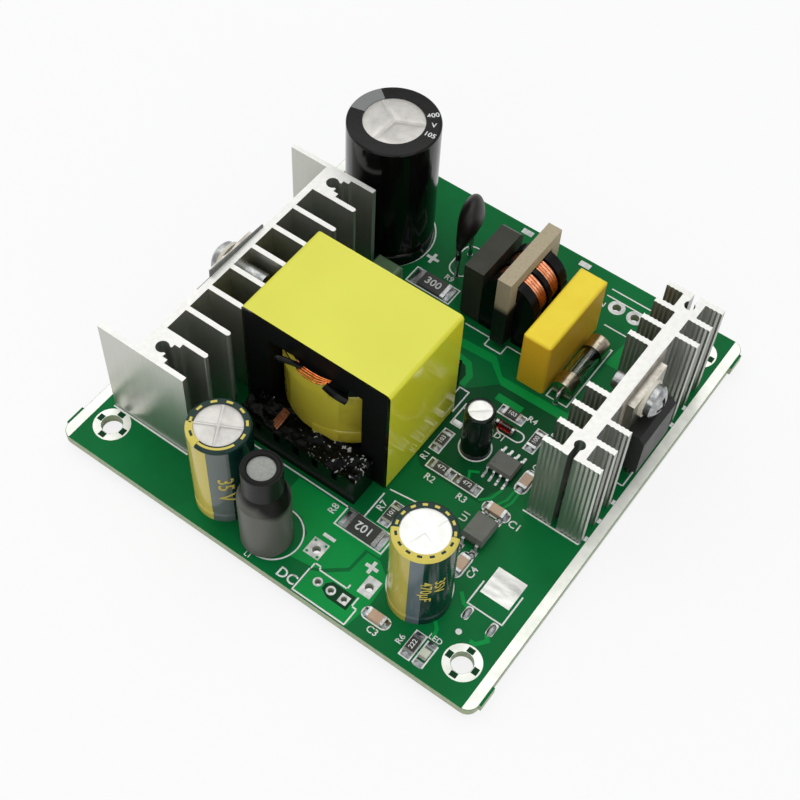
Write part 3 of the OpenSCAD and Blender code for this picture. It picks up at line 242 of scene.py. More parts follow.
def make_tape(name, colour, shade, cut, ripple_size, specular):
    # Polyester film tape: glossy, slightly see-through yellow with soft ripples over what it wraps, paler
    # where it is drawn tight.
    material, node, mm = finish(name, colour, 0.2, specular=specular, IOR=1.6)
    ripple = node("TexNoise", {"Vector": mm, "Scale": 1 / ripple_size, "Detail": 2.0})
    creases = node("TexNoise", {"Vector": mm, "Scale": 0.5, "Detail": 4.0, "Distortion": 1.5})
    tone = node("ValToRGB", {"Fac": ripple}, stops=((0.3, shade), (0.7, colour)))
    # the layers' cut edges, to the front and back, are dull and dark
    edge = node("Math", {0: facing(node, "Y"), 1: 0.9}, operation="GREATER_THAN")
    tone = node("Mix", {"Factor": edge, 6: tone, 7: cut}, **BLEND)
    return dress(material, tone, (creases, 0.07, 0.16), (ripple, 0.2, 0.25))


def make_varnish(name, colour, painted_glints):
    # Dipped insulating varnish: deep glossy black, with pale painted glints where the lumps at the rail's
    # right end would catch the light.
    material, node, mm = finish(name, colour, 0.3, specular=0.08)
    # painted glints of about 0.6 mm
    lump_pattern = node("TexNoise", {"Vector": mm, "Scale": 1.5, "Detail": 1.5, "Distortion": 0.6})
    along = node("SeparateXYZ", {"Vector": mm}, out="X")
    here = node("MapRange", {"Value": along, "From Min": -8.0, "From Max": -2.0, "To Min": 0.84})
    share = node("Math", {0: lump_pattern, 1: here}, operation="MULTIPLY")
    tone = node("ValToRGB", {"Fac": share}, stops=((0.62, colour), (0.67, painted_glints)))
    return dress(material, tone, (lump_pattern, 0.45, 0.15), (lump_pattern, 0.2, 0.5))


def make_sleeve(name, can, colour, shade, printed_and_highlight_bands, rim=None):
    # Shrunk film sleeve: glossy and dark, tight over the can with faint draw lines, and bands down the side:
    # printed stripes and painted highlights. A band is (from, to, hex) in degrees about the can's axis.
    material, node, mm = finish(name, colour, 0.14, specular=0.22)
    x, y, top = middle(can)
    about = node("Mapping", {"Vector": mm, "Location": (-x, -y, 0)})
    split = node("SeparateXYZ", {"Vector": about}).node.outputs
    angle = node("Math", {0: split["Y"], 1: split["X"]}, operation="ARCTAN2")

    def between(start, stop):
        centre, half = radians(start + stop) / 2, radians(stop - start) / 2
        return node("Math", {0: angle, 1: centre, 2: half}, operation="COMPARE")

    drawn = node("Mapping", {"Vector": mm, "Scale": (1, 1, 0.3)})
    mottle = node("TexNoise", {"Vector": drawn, "Scale": 0.5, "Detail": 3.0})
    tone = node("ValToRGB", {"Fac": mottle}, stops=((0.3, shade), (0.7, colour)))
    # printed stripes and painted highlights alike are laid over the film's tone
    for start, stop, band_tone in printed_and_highlight_bands:
        tone = node("Mix", {"Factor": between(start, stop), 6: tone, 7: band_tone}, **BLEND)
    if rim:
        # the fold over the can's end: one ink in front and the film's own tone behind, each with short
        # marks of the other, which run together in the stretch that whole gives
        start, stop, front, back, marks, whole = rim
        fold_depth, mark_radius, mark_half, mark_gap = 0.42, 4.25, 0.2, 0.25
        flat = node("VectorMath", {0: about, 1: (1, 1, 0)}, operation="MULTIPLY")
        reach = node("VectorMath", {0: flat}, out="Value", operation="LENGTH")
        fold = node("Math", {0: split["Z"], 1: top - fold_depth}, operation="GREATER_THAN")
        inside = between(start, stop)
        shown = node("Mix", {"Factor": inside, 6: back, 7: front}, **BLEND)
        tone = node("Mix", {"Factor": fold, 6: tone, 7: shown}, **BLEND)
        turns = node("Math", {0: angle, 1: marks}, operation="MULTIPLY")
        beat = node("Math", {0: turns}, operation="SINE")
        dash = node("Math", {0: beat, 1: mark_gap}, operation="GREATER_THAN")
        dash = node("Math", {0: dash, 1: between(*whole)}, operation="MAXIMUM")
        circle = node("Math", {0: reach, 1: mark_radius, 2: mark_half}, operation="COMPARE")
        for limit in (circle, fold):
            dash = node("Math", {0: dash, 1: limit}, operation="MULTIPLY")
        other = node("Mix", {"Factor": inside, 6: front, 7: back}, **BLEND)
        tone = node("Mix", {"Factor": dash, 6: tone, 7: other}, **BLEND)
    return dress(material, tone, (mottle, 0.1, 0.2), (mottle, 0.05, 0.3))


def make_shrink(name, can, colour, doubled):
    # Heat-shrunk tube: satin charcoal, and near black where the tube is folded double towards the top,
    # along a slanting edge.
    material, node, mm = finish(name, colour, 0.36, specular=0.15)
    x, y = middle(can)[:2]
    about = node("Mapping", {"Vector": mm, "Location": (-x, -y, -TOP)})
    # the edge rises against this direction, and its two tones run together between two levels
    lean = (1.18, -0.21, 1)
    slope = node("VectorMath", {0: about, 1: lean}, out="Value", operation="DOT_PRODUCT")
    slant = node("MapRange", {"Value": slope, "From Min": 15.6, "From Max": 17.2})
    level = node("SeparateXYZ", {"Vector": about}, out="Z")
    upper = node("MapRange", {"Value": level, "From Min": 13.4, "From Max": 14.6})
    fold = node("Math", {0: slant, 1: upper}, operation="MAXIMUM")
    tone = node("Mix", {"Factor": fold, 6: colour, 7: doubled}, **BLEND)
    skin = node("TexNoise", {"Vector": mm, "Scale": 2.8, "Detail": 3.0})
    return dress(material, tone, relief=(skin, 0.03, 0.5))


def make_pad(name, colour, shade):
    # Silicone-coated glass cloth: dull, rubbery, with the cloth's mottle.
    material, node, mm = finish(name, colour, 0.7, IOR=1.41)
    mottle = node("TexNoise", {"Vector": mm, "Scale": 0.8, "Detail": 5.0, "Roughness": 0.7})
    cloth = node("TexVoronoi", {"Vector": mm, "Scale": 2.2}, distance="CHEBYCHEV")
    tone = node("ValToRGB", {"Fac": mottle}, stops=((0.3, shade), (0.65, colour)))
    return dress(material, tone, relief=(cloth, 0.04, 0.5))


def make_glass(name, colour, roughness):
    # Drawn glass tube: clear, with faint streaks along its length.
    material, node, mm = finish(name, colour, roughness, IOR=1.5, Transmission_Weight=1.0)
    drawn = node("Mapping", {"Vector": mm, "Scale": (1, 0.08, 1)})
    streaks = node("TexNoise", {"Vector": drawn, "Scale": 1.2, "Detail": 2.0})
    return dress(material, None, (streaks, roughness, roughness + 0.06), (streaks, 0.02, 0.3))


def make_ink(name, colour, shade):
    # Screen-printed epoxy ink: matt, opaque, a little thin where the mesh left pinholes.
    material, node, mm = finish(name, colour, 0.6, specular=0.3)
    thin = node("TexNoise", {"Vector": mm, "Scale": 2.5, "Detail": 4.0})
    return dress(material, node("ValToRGB", {"Fac": thin}, stops=((0.3, shade), (0.55, colour))))


def paint(material, *names):
    """Gives CAD nodes their finish."""
    for name in names:
        nodes[name].data.materials.clear()
        nodes[name].data.materials.append(material)


# The finishes, each with the CAD nodes that have it
paint(make_solder_mask("solder_mask_on_laminate", "#0c713a", "#0a6532", "#8d9879", "#b0b89a"),
      "circuit_board")
mask_on_copper = make_solder_mask("solder_mask_on_copper", "#0f9a48", "#0c8f41")
darker_mask = make_solder_mask("solder_mask_darker_green", "#0d532c", "#0c4b27")
# bare laminate, and also painted shadow behind the transformer
bare_and_shaded_mask = make_solder_mask("solder_mask_on_bare_laminate_and_shade", "#0b3f21", "#0a381d")
tin = make_metal("hot_air_levelled_tin", "#bfc0bd", "#979a99", 0.36, 1.2, 0.05)
tin_strip = make_metal("tinned_edge_strip", "#f2f4ee", "#e6e9e1", 0.55, 2.5, 0.03)
brushed_tin = make_metal("wiped_tin_pad", "#d8d8d4", "#a6a8a5", 0.34, 1.6, 0.03, (0.35, 1.2, 1))
solder = make_metal("wave_solder", "#9b9ea0", "#75797c", 0.36, 0.7, 0.05)
paint(solder, "solder_joints")
paint(make_extrusion("mill_finish_aluminium", "#a3a59f", "#c0c2bb"), "primary_heatsink")
paint(make_extrusion("bright_drawn_aluminium", "#bcbdb5", "#d2d3cb"), "output_heatsink")
paint(make_metal("zinc_plated_steel", "#b9bab9", "#7b7f82", 0.26, 0.9, 0.03), "heatsink_pins",
      "rectifier_screw", "transistor_screw")
paint(make_metal("tinned_copper_tab", "#c6c2b8", "#98948a", 0.3, 1.5, 0.02, (1, 1, 0.15)),
      "rectifier_leadframe", "transistor_leadframe")
paint(make_metal("tinned_lead_wire", "#bdbfbe", "#8b8e8e", 0.25, 0.6, 0.02), "transformer_pins",
      "choke_pins", "bridge_leads", "line_capacitor_leads", "fuse_wires", "capacitor_leads",
      "inductor_leads", "thermistor_leads", "controller_leads", "optocoupler_leads", "resistor_ends",
      "capacitor_ends", "diode_ends")
paint(make_metal("nickel_plated_brass", "#c2b9a6", "#8a8171", 0.2, 1.0, 0.02), "fuse_caps")
can_top = make_metal("bare_drawn_aluminium", "#c2c0bc", "#aeaca8", 0.42, 2.5, 0.02)
paint(can_top, "bulk_capacitor_can", "output_capacitor_a_can")
# the same drawn aluminium as can_top, made paler: painted light on the ends that catch more of the lamps
can_end_painted_light = make_metal("drawn_aluminium_can_with_painted_light", "#e0e0dd", "#d2d2cf", 0.4, 2.5, 0.02)
paint(can_end_painted_light, "output_capacitor_b_can", "bias_capacitor_can")
paint(make_moulding("moulded_black_epoxy", "#272927", "#1f211f", 0.45, 0.12, 0.02, specular=0.25),
      "rectifier_body", "transistor_body")
# black epoxy given a grey tone: the grey is a painted sheen of the soft light
paint(make_moulding("black_epoxy_with_painted_sheen", "#70726c", "#64665f", 0.5, 0.12, 0.02, specular=0.3),
      "controller_body", "optocoupler_body")
paint(make_moulding("moulded_charcoal_epoxy", "#3c3d33", "#33342b", 0.5, 0.15, 0.03, specular=0.25),
      "bridge_body")
phenolic = make_moulding("moulded_black_phenolic", "#0e0f10", "#08090a", 0.25, 0.4, 0.03, specular=0.15)
paint(phenolic, "transformer_bobbin", "choke_bobbin")
# the pale tone is painted glints on the lumps
varnish = make_varnish("dipped_black_varnish", "#060706", "#b4b7b2")
paint(make_moulding("natural_nylon", "#dcd8ca", "#cfcab9", 0.42, 0.3, 0.02), "screw_bushes")
# its sides' deeper orange is partly what shows through the case and partly painted shade
paint(make_moulding("yellow_polyester_case", "#fce23a", "#f6d832", 0.4, 0.15, 0.015, "#f0bc2a",
                    specular=0.3),
      "line_capacitor_case")
shrink = make_shrink("black_shrink_tube", "inductor_sleeve", "#565751", "#0b0c0a")
paint(shrink, "inductor_sleeve")
dipped_black = make_moulding("dipped_black_resin", "#1d1916", "#151210", 0.42, 2.0, 0.05, specular=0.3)
paint(dipped_black, "thermistor_disc")
paint(make_moulding("dipped_green_resin", "#5a7354", "#4b6246", 0.2, 2.0, 0.08, specular=0.35),
      "film_capacitor_body")
paint(make_moulding("resistor_glaze", "#464743", "#3b3c38", 0.3, 0.3, 0.01, specular=0.25),
      "resistor_chips")
paint(make_moulding("fired_titanate_ceramic", "#cdb096", "#bf9f86", 0.5, 0.2, 0.015), "capacitor_chips")
paint(make_moulding("clear_epoxy_lens", "#dfe0cf", "#cdd0ba", 0.15, 0.5, 0.01), "led_body")
paint(make_ferrite("varnished_dark_ferrite", "#0b0c0c", "#060707", 0.12), "core_upper", "core_lower")
paint(make_ferrite("tumbled_dark_ferrite", "#a2a39e", "#8d8e89", 0.3), "inductor_core")
# near black below 10.6 mm above the board
paint(make_ferrite("ground_grey_ferrite", "#b2a589", "#a2957a", 0.4, 10.6), "choke_core")
fresh_copper = make_metal("bright_enamelled_copper_wire", "#e08a50", "#a9541f", 0.25, 0.8, 0.02)
copper_wire = make_metal("enamelled_copper_wire", "#fcb78e", "#cf7c50", 0.28, 0.8, 0.02)
paint(copper_wire, "choke_winding_front", "choke_winding_back", "inductor_coil")
paint(make_tape("yellow_polyester_tape", "#e1df38", "#dad830", "#15150c", 14.0, 0.45), "transformer_tape")
winding_tape = make_tape("amber_film_over_wire", "#c4b53a", "#9a8d28", "#c4b53a", 6.0, 0.5)
paint(winding_tape, "transformer_winding")
paint(make_pad("grey_silicone_pad", "#6d706f", "#5b5e5d"), "rectifier_pad")
paint(make_pad("mottled_silicone_pad", "#9c958a", "#6f695f"), "transistor_pad")
paint(make_glass("clear_drawn_glass", "#e9efe9", 0.02), "fuse_glass")
paint(make_glass("red_tinted_glass", "#e8302c", 0.08), "glass_diode_body")
ink = make_ink("white_legend_ink", "#eef0ed", "#dadeda")
# the grey band at the can's left edge is a painted highlight
paint(make_sleeve("black_shrunk_film", "bulk_capacitor_can", "#0b0c0b", "#060706",
                  [(-180, -166, "#7f8180"), (143, 180, "#7f8180")]),
      "bulk_capacitor_sleeve")
# a printed gold stripe, then a grey painted highlight on the side facing the front
paint(make_sleeve("green_shrunk_film_a", "output_capacitor_a_can", "#0f332c", "#0a2721",
                  [(-165, -74, "#c3b456"), (-74, -34, "#5f6865")],
                  (-152, -96, "#d6c55c", "#123029", 11, (-95, -20))),
      "output_capacitor_a_sleeve")
# a printed gold stripe, then a grey painted highlight on the side facing the front
paint(make_sleeve("green_shrunk_film_b", "output_capacitor_b_can", "#0f332c", "#0a2721",
                  [(-165, -80, "#b3a54b"), (-80, -56, "#59656a")],
                  (-152, 22, "#d6c55c", "#123029", 15, (23, 24))),
      "output_capacitor_b_sleeve")
# the paler band at the can's left edge is a painted highlight
paint(make_sleeve("dark_green_shrunk_film", "bias_capacitor_can", "#0b1d17", "#071510",
                  [(-160, -130, "#39453f")]),
      "bias_capacitor_sleeve")


# Modelling helpers

# the font's size for a letter height of 1, how much its strokes are thickened, and where a mitre is cut short
FONT_SIZE, STROKE_WEIGHT, MITRE = 1.35, 0.022, 0.4


def mode(kind):
    bpy.ops.object.mode_set(mode=kind)


def begin():
    if bpy.context.object and bpy.context.object.mode != "OBJECT":
        mode("OBJECT")
    bpy.ops.object.select_all(action="DESELECT")


def pick(piece):
    """The piece alone, selected and active."""
    begin()
    piece.select_set(True)
    bpy.context.view_layer.objects.active = piece


def named(name):
    """The object just made, under its name."""
    piece = bpy.context.object
    piece.name = piece.data.name = name
    return piece


def modify(piece, kind, **settings):
    """A modifier with its settings, applied at once."""
    made = piece.modifiers.new(kind, kind)
    for name, value in settings.items():
        setattr(made, name, value)
    bpy.ops.object.modifier_apply(modifier=made.name)


def open_layer(name):
    """An empty piece, left open in edit mode for shapes to be added to it."""
    begin()
    bpy.ops.mesh.primitive_plane_add(size=MM)
    piece = named(name)
    mode("EDIT")
    bpy.ops.mesh.delete(type="VERT")
    return piece


def close_layer(piece, thick, coat, holes=(), under=False):
    """Gives the open layer its thickness, away from the board, its holes, its finish and its place."""
    if under:
        bpy.ops.mesh.select_all(action="SELECT")
        bpy.ops.mesh.flip_normals()
    pick(piece)
    modify(piece, "SOLIDIFY", thickness=thick * MM, offset=1)
    if holes:
        drill(piece, holes)
    settle(piece, coat)


def drill(piece, holes):
    """Round holes, (x, y, diameter) each, cut right through a layer."""
    cutter = open_layer("cutter")
    for x, y, wide in holes:
        bpy.ops.mesh.primitive_cylinder_add(vertices=24, radius=wide / 2 * MM, depth=10 * MM,
                                            location=metres(x, y, 0))
    pick(piece)
    modify(piece, "BOOLEAN", object=cutter)
    bpy.data.objects.remove(cutter)


def settle(piece, coat, smooth=None):
    """The finish, in its slot, and the ride of a finished piece."""
    pick(piece)
    if smooth:
        bpy.ops.object.shade_smooth_by_angle(angle=radians(smooth))
    piece.data.materials.clear()
    piece.data.materials.append(coat)
    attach(piece, "root")


def plate(x0, y0, x1, y1, z, corner=0.0):
    """A flat rectangle between two corners, its own corners rounded where corner says."""
    stroke(x0, (y0 + y1) / 2, x1, (y0 + y1) / 2, y1 - y0, z)
    if corner:
        bpy.ops.mesh.bevel(offset=corner * MM, segments=6, affect="VERTICES")
        bpy.ops.mesh.select_linked()


def stroke(ax, ay, bx, by, width, z):
    """A flat strip of one width from a to b."""
    at = metres((ax + bx) / 2, (ay + by) / 2, z)
    bpy.ops.mesh.primitive_plane_add(size=MM, location=at)
    bpy.ops.transform.resize(value=(hypot(bx - ax, by - ay), width, 1), center_override=at)
    if ay != by:
        bpy.ops.transform.rotate(value=-atan2(by - ay, bx - ax), orient_axis="Z", center_override=at)


def outline(x0, y0, x1, y1, width, z, corner=0.0):
    """A printed frame: a plate, inset, with its middle taken out and the frame left selected."""
    bpy.ops.mesh.select_all(action="SELECT")
    bpy.ops.mesh.hide()
    plate(x0, y0, x1, y1, z, corner)
    bpy.ops.mesh.inset(thickness=width * MM)
    bpy.ops.mesh.delete(type="FACE")
    bpy.ops.mesh.select_all(action="SELECT")
    bpy.ops.mesh.reveal(select=False)


def ring(x, y, radius, width, z, sides=40):
    """A flat ring: a disc, inset, with its middle taken out."""
    bpy.ops.mesh.primitive_circle_add(vertices=sides, radius=radius * MM, fill_type="NGON",
                                      location=metres(x, y, z))
    if width < radius:
        bpy.ops.mesh.inset(thickness=width * MM)
        bpy.ops.mesh.delete(type="FACE")


def area(points, z):
    """A flat area: one corner drawn out along its outline, and the outline filled."""
    bpy.ops.mesh.primitive_plane_add(size=MM, location=metres(*points[0], z))
    bpy.ops.mesh.merge(type="CENTER")
    for (ax, ay), (bx, by) in zip(points, points[1:]):
        step = metres(bx - ax, by - ay, 0)
        bpy.ops.mesh.extrude_vertices_move(TRANSFORM_OT_translate={"value": step})
    bpy.ops.mesh.select_linked()
    bpy.ops.mesh.edge_face_add()
    made = bmesh.from_edit_mesh(bpy.context.edit_object.data)
    if any(face.select and face.normal.z < 0 for face in made.faces):
        bpy.ops.mesh.flip_normals()


def track(points, width, z):
    """A copper track of one width along corner points, its corners mitred."""
    sides = []
    for side in (1, -1):
        edge = []
        for i, (x, y) in enumerate(points):
            before = Vector(points[i]) - Vector(points[max(i - 1, 0)])
            after = Vector(points[min(i + 1, len(points) - 1)]) - Vector(points[i])
            along = (before.normalized() + after.normalized()).normalized()
            ahead = after.normalized() if after.length else before.normalized()
            reach = width / 2 / max(along.dot(ahead), MITRE)
            edge.append((x - side * along.y * reach, y + side * along.x * reach))
        sides.append(edge)
    area(sides[0] + sides[1][::-1], z)


def repeat(places, z):
    """Copies of the shape just made at the first place, moved and turned to each of the others."""
    for (ax, ay, at), (bx, by, bt) in zip(places, places[1:]):
        bpy.ops.mesh.duplicate()
        bpy.ops.transform.translate(value=metres(bx - ax, by - ay, 0))
        if bt != at:
            bpy.ops.transform.rotate(value=-radians(bt - at), orient_axis="Z",
                                     center_override=metres(bx, by, z))


def stamp(places, wide, deep, z, corner=0.0, line=None):
    """Plates of one size, or frames where line gives a width, at every place and turned with it."""
    x, y, turn = places[0]
    corners = x - wide / 2, y - deep / 2, x + wide / 2, y + deep / 2
    if line:
        outline(*corners, line, z, corner)
    else:
        plate(*corners, z, corner)
    repeat(places, z)


def draw_up(rise, across, along, at):
    """Extrudes what is selected by rise and draws its new end in about a place."""
    bpy.ops.mesh.extrude_region_move(TRANSFORM_OT_translate={"value": (0, 0, rise * MM)})
    bpy.ops.transform.resize(value=(across, along, 1), center_override=at)


def face_out():
    """Turns every face of the open piece outwards."""
    bpy.ops.mesh.select_all(action="SELECT")
    bpy.ops.mesh.normals_make_consistent(inside=False)


def words(name, lines):
    """Printed characters: (text, x, y, z, height, degrees) each, made mesh and joined."""
    made = []
    for text, x, y, z, height, degrees in lines:
        begin()
        bpy.ops.object.text_add(location=metres(x, y, z), rotation=(0, 0, radians(degrees)))
        word = bpy.context.object
        word.data.body = text
        word.data.size = height * FONT_SIZE * MM
        word.data.offset = height * STROKE_WEIGHT * MM
        word.data.align_x = word.data.align_y = "CENTER"
        word.data.resolution_u = 3
        bpy.ops.object.convert(target="MESH")
        bpy.ops.object.transform_apply()
        made.append(word)
    pick(made[0])
    for word in made[1:]:
        word.select_set(True)
    if len(made) > 1:
        bpy.ops.object.join()
    return named(name)


def wires(name, base, paths, radius, coat):
    """Round wires along smooth paths, their heights from base up, drawn as curves and made mesh."""
    curve = bpy.data.curves.new(name, "CURVE")
    curve.dimensions = "3D"
    curve.bevel_depth = radius * MM
    curve.bevel_resolution = 2
    curve.resolution_u = 6
    curve.use_fill_caps = True
    for path in paths:
        spline = curve.splines.new("NURBS")
        spline.points.add(len(path) - 1)
        for point, (x, y, z) in zip(spline.points, path):
            point.co = (*metres(x, y, base + z), 1)
        spline.use_endpoint_u = True
        spline.order_u = 3
    piece = bpy.data.objects.new(name, curve)
    scene.collection.objects.link(piece)
    pick(piece)
    bpy.ops.object.convert(target="MESH")
    settle(bpy.context.object, coat, 40)


# Board layers, from the copper up

CHIPS = [(9.9, -5.65, 90), (12.95, -10.15, 0), (17.95, -10.15, 0), (16.3, 5.5, 0), (22.2, 3.5, 90),
         (27.25, -37.9, 90), (11.45, -21.8, 90)]
CERAMICS = [(24.45, -11.4, 0), (25.2, -3.95, 90), (20.25, -37.65, 0), (25.3, -22.5, 90)]
LAMP = (29.6, -38.05, 90)
EMPTY_CHIPS = [(9.9, 0.45, 90), (7.1, 2.55, 90)]
BIG_CHIPS = [(9.8, -26.65, 0), (-10.0, 19.9, 0)]
MOUNTS = [(34.75, 35.75), (-34.75, 35.75), (-34.75, -35.75), (34.75, -35.75)]
PINS_X = [18.99, 20.26, 21.53, 22.8]
WIRE_PADS = [(5.95, -33.85), (16.35, -34.15)]
HEADER = [(9.5, -38.1), (12.0, -38.1), (14.5, -38.1)]
MAINS = [(18.45, 35.45), (22.15, 35.45)]
VIA = (28.65, -21.6)
# how thick each layer is, and the level and width of the legend's lines
COPPER, TIN, PRINT, FILM = 0.03, 0.05, 0.02, 0.004
INK, LINE = TOP + 0.04, 0.26
# lifts a layer off the one that it lies on
LIFT = 0.001


def bored(places, wide):
    return [(x, y, wide) for x, y in places]


def ends(places, reach):
    """The two ends of each chip, turned away from its middle."""
    return [(x + side * reach * (turn == 0), y + side * reach * (turn != 0), turn + (180 if side < 0 else 0))
            for x, y, turn in places for side in (-1, 1)]


copper = open_layer("board_copper_areas")
area([(-4.4, -30.0), (-4.2, -25.2), (8.2, -25.2), (8.2, -24.4), (14.6, -24.4), (14.6, -29.2), (12.0, -29.2),
      (11.8, -33.3), (8.8, -35.8), (7.4, -36.6), (3.0, -37.2), (3.4, -35.0), (3.0, -32.4), (0.6, -30.7)], TOP)
area([(7.3, -41.3), (7.3, -37.2), (9.2, -36.3), (12.3, -33.8), (12.6, -29.5), (15.0, -29.5), (17.9, -31.5),
      (18.2, -36.6), (17.4, -41.3)], TOP)
area([(0.6, 13.6), (7.4, 14.0), (8.4, 13.2), (10.6, 11.0), (23.4, 11.4), (25.8, 12.6), (27.8, 12.6),
      (27.8, 8.4), (24.0, 8.4), (22.4, 9.6), (11.4, 9.4), (7.6, 12.3), (1.0, 11.9)], TOP)
area([(2.4, 10.8), (4.9, 10.3), (6.7, 8.0), (6.7, 5.4), (5.6, 5.4), (5.6, 7.6), (4.4, 9.2), (2.4, 9.5)], TOP)
area([(12.1, 6.5), (12.1, 7.9), (17.1, 7.9), (17.1, 6.5)], TOP)
area([(23.0, 24.0), (26.8, 24.0), (26.8, 30.0), (23.6, 30.0)], TOP)
for run, width in (
    ([(17.5, -9.0), (16.8, -7.7), (18.2, -6.9)], 0.45), ([(20.9, -11.3), (22.4, -9.8), (22.9, -7.6)], 0.45),
    ([(23.7, -10.4), (24.6, -8.6), (24.7, -6.2)], 0.4), ([(24.9, -10.2), (25.5, -8.6), (25.5, -6.2)], 0.4),
    ([(26.7, -17.3), (28.3, -17.3), (28.9, -18.4), (28.6, -21.7), (30.2, -22.6)], 0.55),
    ([(34.9, -29.6), (35.8, -30.6), (34.6, -32.2), (33.6, -32.2)], 0.7),
    ([(28.0, -26.2), (29.4, -27.6), (30.8, -28.0)], 0.6),
    ([(29.0, -35.2), (28.6, -33.6), (27.6, -32.6)], 0.6),
    ([(13.6, -18.0), (22.0, -18.0)], 0.4),
):
    track(run, width, TOP)
ring(*VIA, 0.75, 0.75, TOP, 24)
close_layer(copper, COPPER, mask_on_copper,
            holes=bored([VIA], 0.4) + bored(WIRE_PADS, 1.7) + bored(HEADER, 1.2))

# the controller's area, in a darker green than the rest of the board
bare = open_layer("board_controller_area")
area([(5.9, 4.2), (8.2, 6.4), (11.2, 9.5), (22.4, 9.7), (24.0, 8.5), (27.0, 8.5), (27.0, -4.2), (23.4, -6.4),
      (21.8, -9.2), (21.4, -11.7), (9.9, -11.7), (7.2, -9.4), (5.9, -7.0)], TOP)
close_layer(bare, FILM, darker_mask)

bare_and_shaded_layer = open_layer("board_bare_and_shaded_areas")
area([(10.6, -37.6), (11.4, -36.7), (15.8, -36.7), (15.8, -39.4), (12.2, -39.4), (10.6, -38.6)],
     TOP + COPPER + LIFT)
# bare laminate inside the track's curve, darkened further with painted shadow behind the transformer
area([(0.8, 5.6), (0.8, 9.4), (2.4, 9.4), (4.35, 9.1), (5.5, 7.5), (5.5, 5.6)], TOP)
close_layer(bare_and_shaded_layer, FILM, bare_and_shaded_mask, holes=bored(HEADER[1:], 1.2))

pads = open_layer("board_tinned_pads")
chip_ends, big_ends = ends(CHIPS + CERAMICS + [LAMP], 1.7), ends(BIG_CHIPS, 3.35)
stamp(chip_ends + [(9.9, -1.25, 90), (9.9, 2.15, 90)], 1.5, 0.9, TOP)
stamp(big_ends, 1.2, 3.1, TOP)
stamp([(x, y, 0) for y in (-6.8, -0.85) for x in PINS_X], 0.44, 1.4, TOP, 0.2)
stamp([(x, y, 0) for x in (23.25, 25.75) for y in (-20.0, -12.6)], 1.2, 1.6, TOP)
stamp([(30.75, -28.6, 0), (35.3, -28.7, 0)], 1.2, 2.4, TOP, 0.4)
stamp([(-3.4, 40.4, 0), (8.9, 40.3, 0)], 2.2, 1.2, TOP)
plate(4.35, -35.3, 7.25, -32.1, TOP)
plate(15.15, -35.8, 17.55, -32.4, TOP)
plate(13.7, -38.9, 15.3, -37.3, TOP)
for x, y, radius in bored(HEADER[:2], 0.8) + bored(MAINS, 1.55):
    ring(x, y, radius, radius, TOP)
close_layer(pads, TIN, tin,
            bored(WIRE_PADS, 1.4) + bored(HEADER, 1.0) + bored(MAINS, 1.6)
            + [(x, y, 0.5) for x in (4.8, 6.8) for y in (-34.85, -32.55)])

wiped = open_layer("board_wiped_pad")
plate(30.25, -24.5, 35.55, -19.2, TOP)
close_layer(wiped, TIN, brushed_tin)

# each strip follows the board's round corners
CORNER_X, CORNER_Y, CORNER_R = 38.5, 39.75, 1.93
corner = [(CORNER_X + CORNER_R * cos(radians(turn)), CORNER_Y + CORNER_R * sin(radians(turn)))
          for turn in range(0, 85, 12)]
strip = [(x, -y) for x, y in corner[::-1]] + corner
for name, level in (("board_edge_strips", TOP), ("underside_edge_strips", 0)):
    strips = open_layer(name)
    for side in (-1, 1):
        area([(side * x, y) for x, y in strip], level)
    for x, y in MOUNTS:
        ring(x, y, 3.1, 1.3, level, 64)
    close_layer(strips, TIN, tin_strip, under=level == 0)

# the four clear windows in each mounting ring
windows = open_layer("mount_ring_windows")
x, y = MOUNTS[0]
plate(x + 1.85, y - 0.6, x + 2.8, y + 0.6, TOP + TIN + LIFT)
repeat([(x, y, turn) for x, y in MOUNTS for turn in (0, 90, 180, 270)], TOP)
close_layer(windows, FILM, bare_and_shaded_mask)

legend = open_layer("board_legend")
# the two chips that lie end to end share one frame
stamp([chip for chip in CHIPS if chip[1] != -10.15] + EMPTY_CHIPS, 2.1, 4.9, INK, line=LINE)
stamp(CERAMICS + [(18.0, 2.45, 0)], 5.1, 2.3, INK, 1.1, LINE)
stamp(BIG_CHIPS, 9.3, 3.9, INK, line=LINE)
for x0, y0, x1, y1, bend in (
    (10.4, -11.25, 20.5, -9.05, 0), (28.6, -40.2, 30.6, -35.9, 0), (-10.5, 24.1, -6.3, 31.9, 2.0),
    (18.5, 12.2, 22.75, 27.1, 0),
):
    outline(x0, y0, x1, y1, LINE, INK, bend)
for x, y, radius in ((-23.5, 25.5, 8.45), (-1.3, -35.5, 4.9), (14.95, -3.4, 2.85), (22.3, -29.2, 5.3)):
    ring(x, y, radius, LINE, INK, 64)
